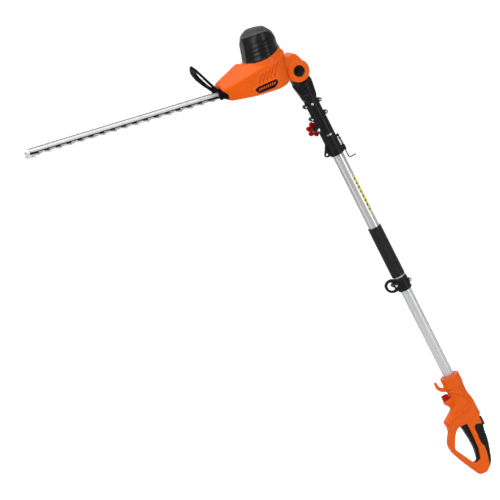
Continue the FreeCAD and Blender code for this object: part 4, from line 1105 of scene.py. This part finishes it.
def make_clamp():
    """The six-lobed clamp knob and its hexagon-headed bolt."""
    x, z = KNOB
    v = Volume(POLE, (x - 20, x + 20), (18, 31.5), (z - 20, z + 20), 0.4)
    away = np.hypot(v.x - x, v.z - z)
    lobes = [away - 13.6]
    for index in range(6):
        angle = math.radians(60 * index + 30)
        lobes.append(rod(v, (x + 13.4 * math.cos(angle), z + 13.4 * math.sin(angle)), 6.0))
    form = meet(join_all(lobes, 0.8), slab(v.y, 19.05, 29.55), 2.0)
    dish = both(away - 8.5, 28.4 - v.y)
    form = carve(form, dish, 1.0)
    form = join(form, meet(away - 7.5, slab(v.y, 18.7, 21), 0.3))
    form = cut(form, away - 3.1)
    v.piece("clamp_knob", form, RED)
    shank = [(0, -8.2), (2.95, -8.2), (2.95, 29.5), (2.4, 30), (0, 30)]
    hexagon = [(0, -12.0), (3.1, -12.0), (4.0, -11.7), (4.4, -11.0), (4.6, -8.1), (0, -8.1)]
    parts = [turned(profile, (x, 0, z), (0, 1, 0), sides) for profile, sides in ((shank, 32), (hexagon, 6))]
    assemble("clamp_bolt", POLE, parts, PLATED)


def make_release_pin():
    """The release pin, a wire bent over at its end with a collar for its spring, and the spring."""
    path = [(PIN_X, 0, -191 - index * 4.0) for index in range(16)]
    bend = 6.0
    for step in range(7):
        turn = math.radians(15 * step)
        path.append((PIN_X + bend * (1 - math.cos(turn)), 0, -258.5 + bend - bend * math.sin(turn)))
    path.append((41.0, 0, -258.5))
    collar = [(1.4, -202.6), (3.2, -202.6), (3.4, -202.3), (3.4, -200.7), (3.2, -200.4), (1.4, -200.4)]
    parts = [tube_along(path, 1.5, 14), turned(collar, (PIN_X, 0, 0), (0, 0, 1), 24)]
    assemble("release_pin", POLE, parts, WIRE, 50)
    coil = helix(2.9, -220.2, -203.5, 6, (PIN_X, 0, 0))
    assemble("release_spring", POLE, [tube_along(coil, 0.5, 8)], WIRE, 60)


# ---------------- pole

def make_pole():
    """The bare tube, the fluted front grip and the printed marks."""
    bore = TUBE_RADIUS - 1.2
    corners = [(bore, TUBE_LOW), (TUBE_RADIUS, TUBE_LOW), (TUBE_RADIUS, TUBE_HIGH), (bore, TUBE_HIGH)]
    wall = ring_profile(corners, 0.3, 2)
    assemble("pole_tube", POLE, [turned(wall, (0, 0, 0), (0, 0, 1), 96)], TUBE)
    v = Volume(POLE, (-18.5, 18.5), (-18.5, 18.5), (-583, -440), 0.55)
    form = meet(v.reach - 17.2, slab(v.z, -581, -442), 1.2)
    angle = np.degrees(np.arctan2(v.y, v.x))
    flute = np.abs((angle / 10) % 1 - 0.5) * 3.0 - 0.4
    zone = both(slab(v.z, -574, -449), 16.85 - v.reach)
    form = carve(form, both(flute, zone), 0.4)
    form = cut(form, v.reach - 14.02)
    v.piece("front_grip", form, GRIP)
    make_label()


def make_label():
    """Printed marks along the tube: a plain row of rounded bars and rings in place of any lettering."""
    v = Volume(POLE, (2, 15), (-15, -1), (-418, -293), 0.35)
    skin = slab(v.reach, 13.5, 14.22)
    around = (np.degrees(np.arctan2(v.y, v.x)) + 50) * 14 * math.pi / 180
    bars = []
    for index in range(9):
        level = -302 - 12.2 * index
        if index % 3 == 1:
            bars.append(np.abs(ball(around, v.z, (0.4, level), 4.2)) - 1.5)
        else:
            bars.append(capsule(around, v.z, (-3.4, level - 1.6), (4.6, level + 1.6), 2.9))
    bars.append(both(np.abs(around) - 5.6, np.abs(v.z + 413.5) - 0.9))
    form = meet(join_all(bars), skin, 0.05)
    v.piece("strip_label", form, LABEL)
    spots = []
    for index in range(8):
        level = -308 - 12.2 * index
        spots.append(capsule(around, v.z, (-3.6, level - 1), (0.4, level + 1), 1.6))
    form = meet(join_all(spots), slab(v.reach, 13.5, 14.2), 0.05)
    trim("label_spots", v.mesh("label_spots", form), BLACK, "strip_label")


LOOP_OUTSIDE = [
    (-17, -580), (-30, -577), (-41, -580), (-47, -588), (-46, -601), (-38, -611), (-26, -615), (-12, -613),
]
LOOP_INSIDE = [
    (-24, -588), (-31, -584.8), (-36.8, -586.6), (-39.9, -591), (-39.4, -599), (-34.4, -605.3), (-24, -608),
]
STRAP_SCREWS = [(-21, -598), (18.5, -602)]


def strap_form(v):
    """The strap clamp's ring with its ribs and screw bosses, both halves together."""
    ring = meet(v.reach - 17.9, slab(v.z, -620, -585), 1.6)
    near_screw, right_screw = STRAP_SCREWS
    boss = meet(rod(v, near_screw, 6.0), v.wide - 13, 1.2)
    web = block(v, (-21, -12), (-13, 13), (-604, -592), 1.0)
    other = meet(rod(v, right_screw, 4.5), v.wide - 13, 1.0)
    other_web = block(v, (10, 18.5), (-13, 13), (-606.5, -597.5), 0.8)
    form = join(ring, join_all([boss, web, other, other_web], 0.8), 2.0)
    for place in (-590.5, -614.5):
        form = join(form, both(np.abs(v.reach - 18.0) - 0.5, np.abs(v.z - place) - 1.0), 0.5)
    return form


def make_strap_clamp():
    for name, y, side in halves("strap_clamp", 20):
        v = Volume(POLE, (-50, 26), y, (-622, -574), 0.5)
        form = strap_form(v)
        if side > 0:
            loop = both(side_view(v, LOOP_OUTSIDE, 7), -side_view(v, LOOP_INSIDE, 5))
            loop = meet(loop, slab(v.y, -4.2, -0.1), 1.2)
            loop = cut(loop, both(v.reach - 17.5, -581.5 - v.z))
            form = join(form, both(loop, -(v.reach - 15.0)), 1.5)
        form = cut(form, v.reach - TUBE_RADIUS)
        for spot in STRAP_SCREWS:
            form = cut(form, rod(v, spot, 1.75))
        form = meet(form, v.y * side + 0.06, 0.4)
        v.piece(name, form, BLACK)
    parts = screws(STRAP_SCREWS, -13.0, -1, (3.3, 2.2, 1.5), (1.68, 23.5, 24.8))
    assemble("strap_clamp_screws", POLE, parts, PLATED)


# ---------------- rear handle

HANDLE = [
    (-21, -890, 4), (20, -890, 4), (20.5, -912, 8), (21.5, -930, 10), (26, -945, 9), (26.5, -990, 3),
    (20, -997, 3), (20, -1020, 8), (16.5, -1032, 8), (13.5, -1060, 14), (5, -1089, 14), (-2, -1110, 8),
    (-11, -1121, 4), (-25, -1132, 4), (-45, -1129, 5), (-68, -1082, 14), (-82.5, -1046, 10),
    (-84.5, -1030, 8), (-81, -1015, 9), (-64, -992, 7), (-66, -968, 4), (-39, -951, 7), (-24, -939, 6),
]
HANDLE_GAP = [
    (-42, -995, 6), (-54, -1004, 8), (-70, -1031, 6), (-73, -1040, 5), (-46, -1092, 5), (-40, -1096, 4),
    (-27, -1093, 4), (-19.5, -1068, 10), (-17.5, -1030, 10), (-18, -995, 4),
]
HOOK = [
    (-18, -904), (-26, -901, 8), (-38, -894.5, 8), (-45, -883, 8), (-43.5, -866.5, 2.2), (-38.5, -866.5, 2.2),
    (-37.5, -879, 6), (-33, -886.5, 5), (-24, -890, 5), (-18, -890),
]
SOFT_BACK = [
    (-6, -1014, 4), (1, -1007, 4), (40, -1026, 4), (40, -1130, 4), (-12, -1130, 4), (-12.5, -1115, 5),
    (-6, -1092, 8), (-3, -1068, 5), (-8, -1056, 5), (-6, -1034, 5),
]
TRIGGER = [
    (-33, -998, 4), (-29, -1026, 8), (-27, -1059, 10), (-31, -1086, 8), (-37, -1101, 3), (-35, -1108, 3),
    (-29, -1108, 3), (-19.5, -1073, 8), (-16, -1038, 6), (-16, -984, 1), (-24, -984, 1), (-24, -996, 2),
]
TRIGGER_SLOT = [
    (-46, -1108), (-30, -1112), (-23, -1109), (-12, -1073), (-9, -1038), (-8, -980), (-26, -980), (-46, -998),
]
TRIGGER_PIVOT = (-32.5, -1104.5)
LEAD_CHANNEL = [(-37, -940), (-37, -926), (-30, -926), (-25, -938), (2, -954), (2, -965), (-10, -965)]
HANDLE_SCREWS = [(17, -952), (-52, -972), (-77, -1024), (-34, -1123), (0, -1052)]
LOCK = (-1021.0, -998.0)
LOCK_HALF = 9.5
SWOOSH = [
    (-15.6, -904), (-4, -917), (8.5, -927), (14, -939), (14.5, -950), (7, -958), (-8, -963.5), (-23, -964),
    (-38, -964), (-48, -966), (-55, -973),
]
SWOOSH_BACK = [(-58, -962), (-34, -952), (-22, -938), (-20, -915)]
INLET_WEB = [(-38, -926), (-20, -926), (-20, -950), (-33, -946), (-38, -936)]


def handle_outer(v):
    """The handle's moulded outside, both halves: socket, body with its rounded flanks and the raised line."""
    shape = side_view(v, HANDLE, 6)
    half = np.interp(v.z, [-1130, -1100, -1040, -990, -945, -905], [15, 15.5, 16.4, 17.6, 18.2, 18.6])
    body = meet(shape, v.wide - half, 8.0)
    crown = np.hypot(np.maximum(shape + 20, 0), v.wide * 1.25) - 24.5
    body = press(body, crown, 3.0)
    socket = meet(v.reach - 25.1, slab(v.z, -898, -868), 2.6)
    taper = v.reach - np.interp(v.z, [-925, -899], [18.4, 23.4])
    taper = both(taper, slab(v.z, -925, -897))
    form = join(join(body, taper, 5.0), socket, 1.2)
    swoosh = path_distance(v.x, v.z, SWOOSH)
    dip = outline(v.x, v.z, filleted(SWOOSH + SWOOSH_BACK, 4))
    form = carve(form, both(dip, half - 2.2 - v.wide), 2.5)
    ridge = np.hypot(swoosh, v.wide - half + 1.0) - 3.0
    form = join(form, ridge, 1.5)
    notch = meet(side_view(v, INLET_WEB, 2), v.wide - 6.0, 1.2)
    form = join(form, notch, 2.0)
    return carve(form, np.hypot(v.reach - 25.0, v.z + 899.5) - 2.2, 0.5)


def handle_form(v):
    """The handle with its opening, trigger boss, cord hook and inlet stub, before it is hollowed."""
    form = handle_outer(v)
    gap = side_view(v, HANDLE_GAP, 5)
    slim = v.wide - 11.5 - np.maximum(v.x + 36, 0) * 0.7 - np.maximum(v.z + 996, 0) * 0.5
    form = press(form, slim, 4.0)
    form = carve(form, gap, 3.5)
    pivot_boss = meet(rod(v, TRIGGER_PIVOT, 5.0), v.wide - 14.0, 1.2)
    form = join(form, pivot_boss, 2.0)
    hook = meet(side_view(v, HOOK, 3) - 0.5, v.wide - 3.4, 1.4)
    stub = block(v, (-43, -20), (-9, 9), (-932, -919.5), 2.0)
    return join(form, join(hook, stub), 2.5)


def soft_region(v, form):
    """The part of the handle that the overmould covers, to a depth of three millimetres."""
    back = side_view(v, SOFT_BACK, 5)
    return back, form + 3.0


def handle_cuts(v, form):
    """Takes the overmould's seat, the slots and the inside hollows out of the handle."""
    back, core = soft_region(v, form)
    form = cut(form, both(back - 0.12, -core), meet(side_view(v, TRIGGER_SLOT, 3), v.wide - 8.5, 0.3))
    form = carve(form, both(v.reach - 14.3, -905 - v.z), 0.8)
    form = cut(form, both(v.reach - 3.6, slab(v.z, -973, -904)))
    form = cut(form, block(v, (-10.5, 13), (-10, 10), (-1001, -956), 0.5))
    lock_half = LOCK_HALF + 0.4
    button = block(v, (13.5, 40), (-lock_half, lock_half), (LOCK[0] - 0.5, LOCK[1] + 0.5), 0.8)
    form = carve(form, button, 0.8)
    form = cut(form, block(v, (11.2, 15), (-4.6, 4.6), (-1014.8, -1004.2), 0.3))
    form = cut(form, both(np.hypot(v.y, v.z + 1009.5) - 3.4, slab(v.x, 4, 14)))
    form = cut(form, block(v, (-41, -26.5), (-7, 7), (-929, -900), 0.5))
    channel = outline(v.x, v.z, LEAD_CHANNEL)
    form = cut(form, both(channel, v.wide - 3.4), both(rod(v, TRIGGER_PIVOT, 2.05), v.wide - 13))
    return form


def make_handle():
    """The rear handle's half shells, the ribbed overmould at its back, and the screws."""
    for name, y, side in halves("handle_shell", 27):
        v = Volume(POLE, (-88, 29), y, (-1135, -862), 0.7)
        form = handle_cuts(v, handle_form(v))
        if side < 0:
            for spot in HANDLE_SCREWS:
                form = carve(form, both(rod(v, spot, 3.7), 13.9 - v.y), 0.8)
        form = meet(form, v.y * side + 0.06, 0.5)
        v.piece(name, form, ORANGE)
    v = Volume(POLE, (-26, 24), (-19, 19), (-1133, -1004), 0.5)
    skin = handle_form(v)
    back, core = soft_region(v, skin)
    form = both(meet(skin - 0.4, back, 0.9), -(core - 0.1))
    bars = (np.abs(((v.z + v.x * 0.35) / 6.5) % 1 - 0.5) - 0.12) * 6.5
    form = carve(form, both(both(bars, -(skin + 0.5)), back + 4.0), 0.5)
    lock_half = LOCK_HALF + 0.5
    form = cut(form, block(v, (-20, 40), (-lock_half, lock_half), (LOCK[0] - 0.6, LOCK[1] + 10), 0.5))
    form = cut(form, both(rod(v, HANDLE_SCREWS[4], 3.7), 8 - v.y))
    v.piece("grip_overmould", form, SOFT)
    parts = screws(HANDLE_SCREWS, 14.4, 1, (3.3, 2.4, 1.6), (1.6, 16, 17.2))
    assemble("handle_screws", POLE, parts, PLATED)


def make_controls():
    """The trigger, the lock-off button and the inlet's insert."""
    v = Volume(POLE, (-40, -16), (-9, 9), (-1110, -982), 0.45)
    form = meet(side_view(v, TRIGGER, 4), v.wide - 8.0, 2.4)
    form = cut(form, rod(v, TRIGGER_PIVOT, 2.06))
    ribs = np.abs((v.z / 7) % 1 - 0.5) * 7 - 1.0
    ribs = both(ribs, both(v.x + 25.6, v.wide - 5.6))
    ribs = cut(ribs, form + 0.7)
    form = carve(form, both(ribs, slab(v.z, -1078, -1012)), 0.5)
    v.piece("trigger", form, BLACK)
    v = Volume(POLE, (14, 28), (-11, 11), (-1023, -996), 0.35)
    form = block(v, (17, 25.5), (-LOCK_HALF, LOCK_HALF), LOCK, 2.0)
    ribs = np.abs((v.z / 3.2) % 1 - 0.5) * 3.2 - 0.5
    form = carve(form, both(ribs, 24.9 - v.x), 0.3)
    form = join(form, block(v, (15, 18.5), (-4, 4), (-1014, -1005), 0.5), 0.3)
    v.piece("lock_off_button", form, BLACK)
    v = Volume(POLE, (-45, -23), (-10, 10), (-931, -904), 0.4)
    form = block(v, (-41, -26.5), (-7, 7), (-929, -907), 1.0)
    form = join(form, block(v, (-42, -26), (-7.4, 7.4), (-919, -908.2), 1.2), 0.3)
    form = carve(form, block(v, (-39.5, -28), (-5.5, 5.5), (-921, -900), 1.2), 0.6)
    for y in (-3, 3):
        form = cut(form, both(np.hypot(v.x + 33.75, v.y - y) - 1.5, slab(v.z, -940, -918)))
    v.piece("power_inlet", form, RED)


# ---------------- floor, light and camera

FLOOR_DROP = 1.2


def make_stage():
    """A plain pale floor that reaches past the view, below the tool."""
    mesh = bpy.data.meshes.new("floor")
    edit = bmesh.new()
    bmesh.ops.create_grid(edit, x_segments=8, y_segments=8, size=60)
    edit.to_mesh(mesh)
    edit.free()
    floor = add_object("floor", mesh)
    floor.location = (0, 0, cad_bounds[0][2] - FLOOR_DROP)
    mesh.materials.append(surface("pale_floor", (0.9, 0.9, 0.9), 0.9, variation=0.01, grain=40, bump=0.02,
                                  rough_spread=0.02, specular=0.1))


def softbox(name, spot, target, size, radiance, fan=180):
    """A rectangular light of even radiance; its power follows from its area."""
    light = bpy.data.lights.new(name, "AREA")
    light.shape = "RECTANGLE"
    light.size, light.size_y = size
    light.energy = radiance * math.pi * size[0] * size[1]
    light.spread = math.radians(fan)
    lamp = add_object(name, light)
    lamp.location = spot
    lamp.rotation_euler = (Vector(target) - Vector(spot)).to_track_quat("-Z", "Y").to_euler()
    lamp.visible_camera = False


def make_light():
    world = bpy.data.worlds.new("studio")
    world.use_nodes = True
    background = world.node_tree.nodes["Background"]
    background.inputs["Color"].default_value = (1, 1, 1, 1)
    background.inputs["Strength"].default_value = 0.33
    bpy.context.scene.world = world
    middle = (-0.3, 0, 0.4)
    softbox("key", (-3.6, -4.4, 4.2), middle, (3.2, 3.2), 3.3)
    softbox("top", (-0.3, -0.3, 4.4), middle, (3.4, 3.4), 2.6)
    softbox("strip", (2.4, -3.8, 0.4), middle, (0.7, 3.8), 5.5)
    softbox("side", (-4.3, -1.2, 0.4), middle, (1.6, 3.8), 0.9)
    softbox("rear", (1.5, 5.5, 1.7), middle, (8, 3), 0.9)
    softbox("backdrop", (2.3, 10.5, 2.2), (2.3, 10.5, -1), (9, 17), 0.85, 75)
    bpy.context.scene.view_settings.view_transform = "Standard"


AZIMUTH, ELEVATION, ROLL = math.radians(-14), math.radians(13.9), math.radians(26.98)
DISTANCE = 15.0
VIEW_WIDTH = 1.225
LOOK_AT = Vector((-0.3081, 0, 0.4105))


def make_camera():
    back = Vector((math.sin(AZIMUTH) * math.cos(ELEVATION), -math.cos(AZIMUTH) * math.cos(ELEVATION),
                   math.sin(ELEVATION)))
    level = Vector((math.cos(AZIMUTH), math.sin(AZIMUTH), 0))
    upright = back.cross(level)
    right = level * math.cos(ROLL) - upright * math.sin(ROLL)
    up = level * math.sin(ROLL) + upright * math.cos(ROLL)
    lens = bpy.data.cameras.new("view")
    lens.sensor_width = 36
    lens.lens = 36 * DISTANCE / VIEW_WIDTH
    lens.clip_end = 400
    camera = add_object("view", lens)
    camera.matrix_world = Matrix.Translation(LOOK_AT + back * DISTANCE) @ Matrix(
        (right, up, back)).transposed().to_4x4()
    bpy.context.scene.camera = camera


make_head()
make_badge()
make_cap()
make_guard()
make_button()
make_blade_unit()
make_neck()
make_sleeve()
make_clamp()
make_release_pin()
make_pole()
make_strap_clamp()
make_handle()
make_controls()
make_stage()
make_light()
make_camera()
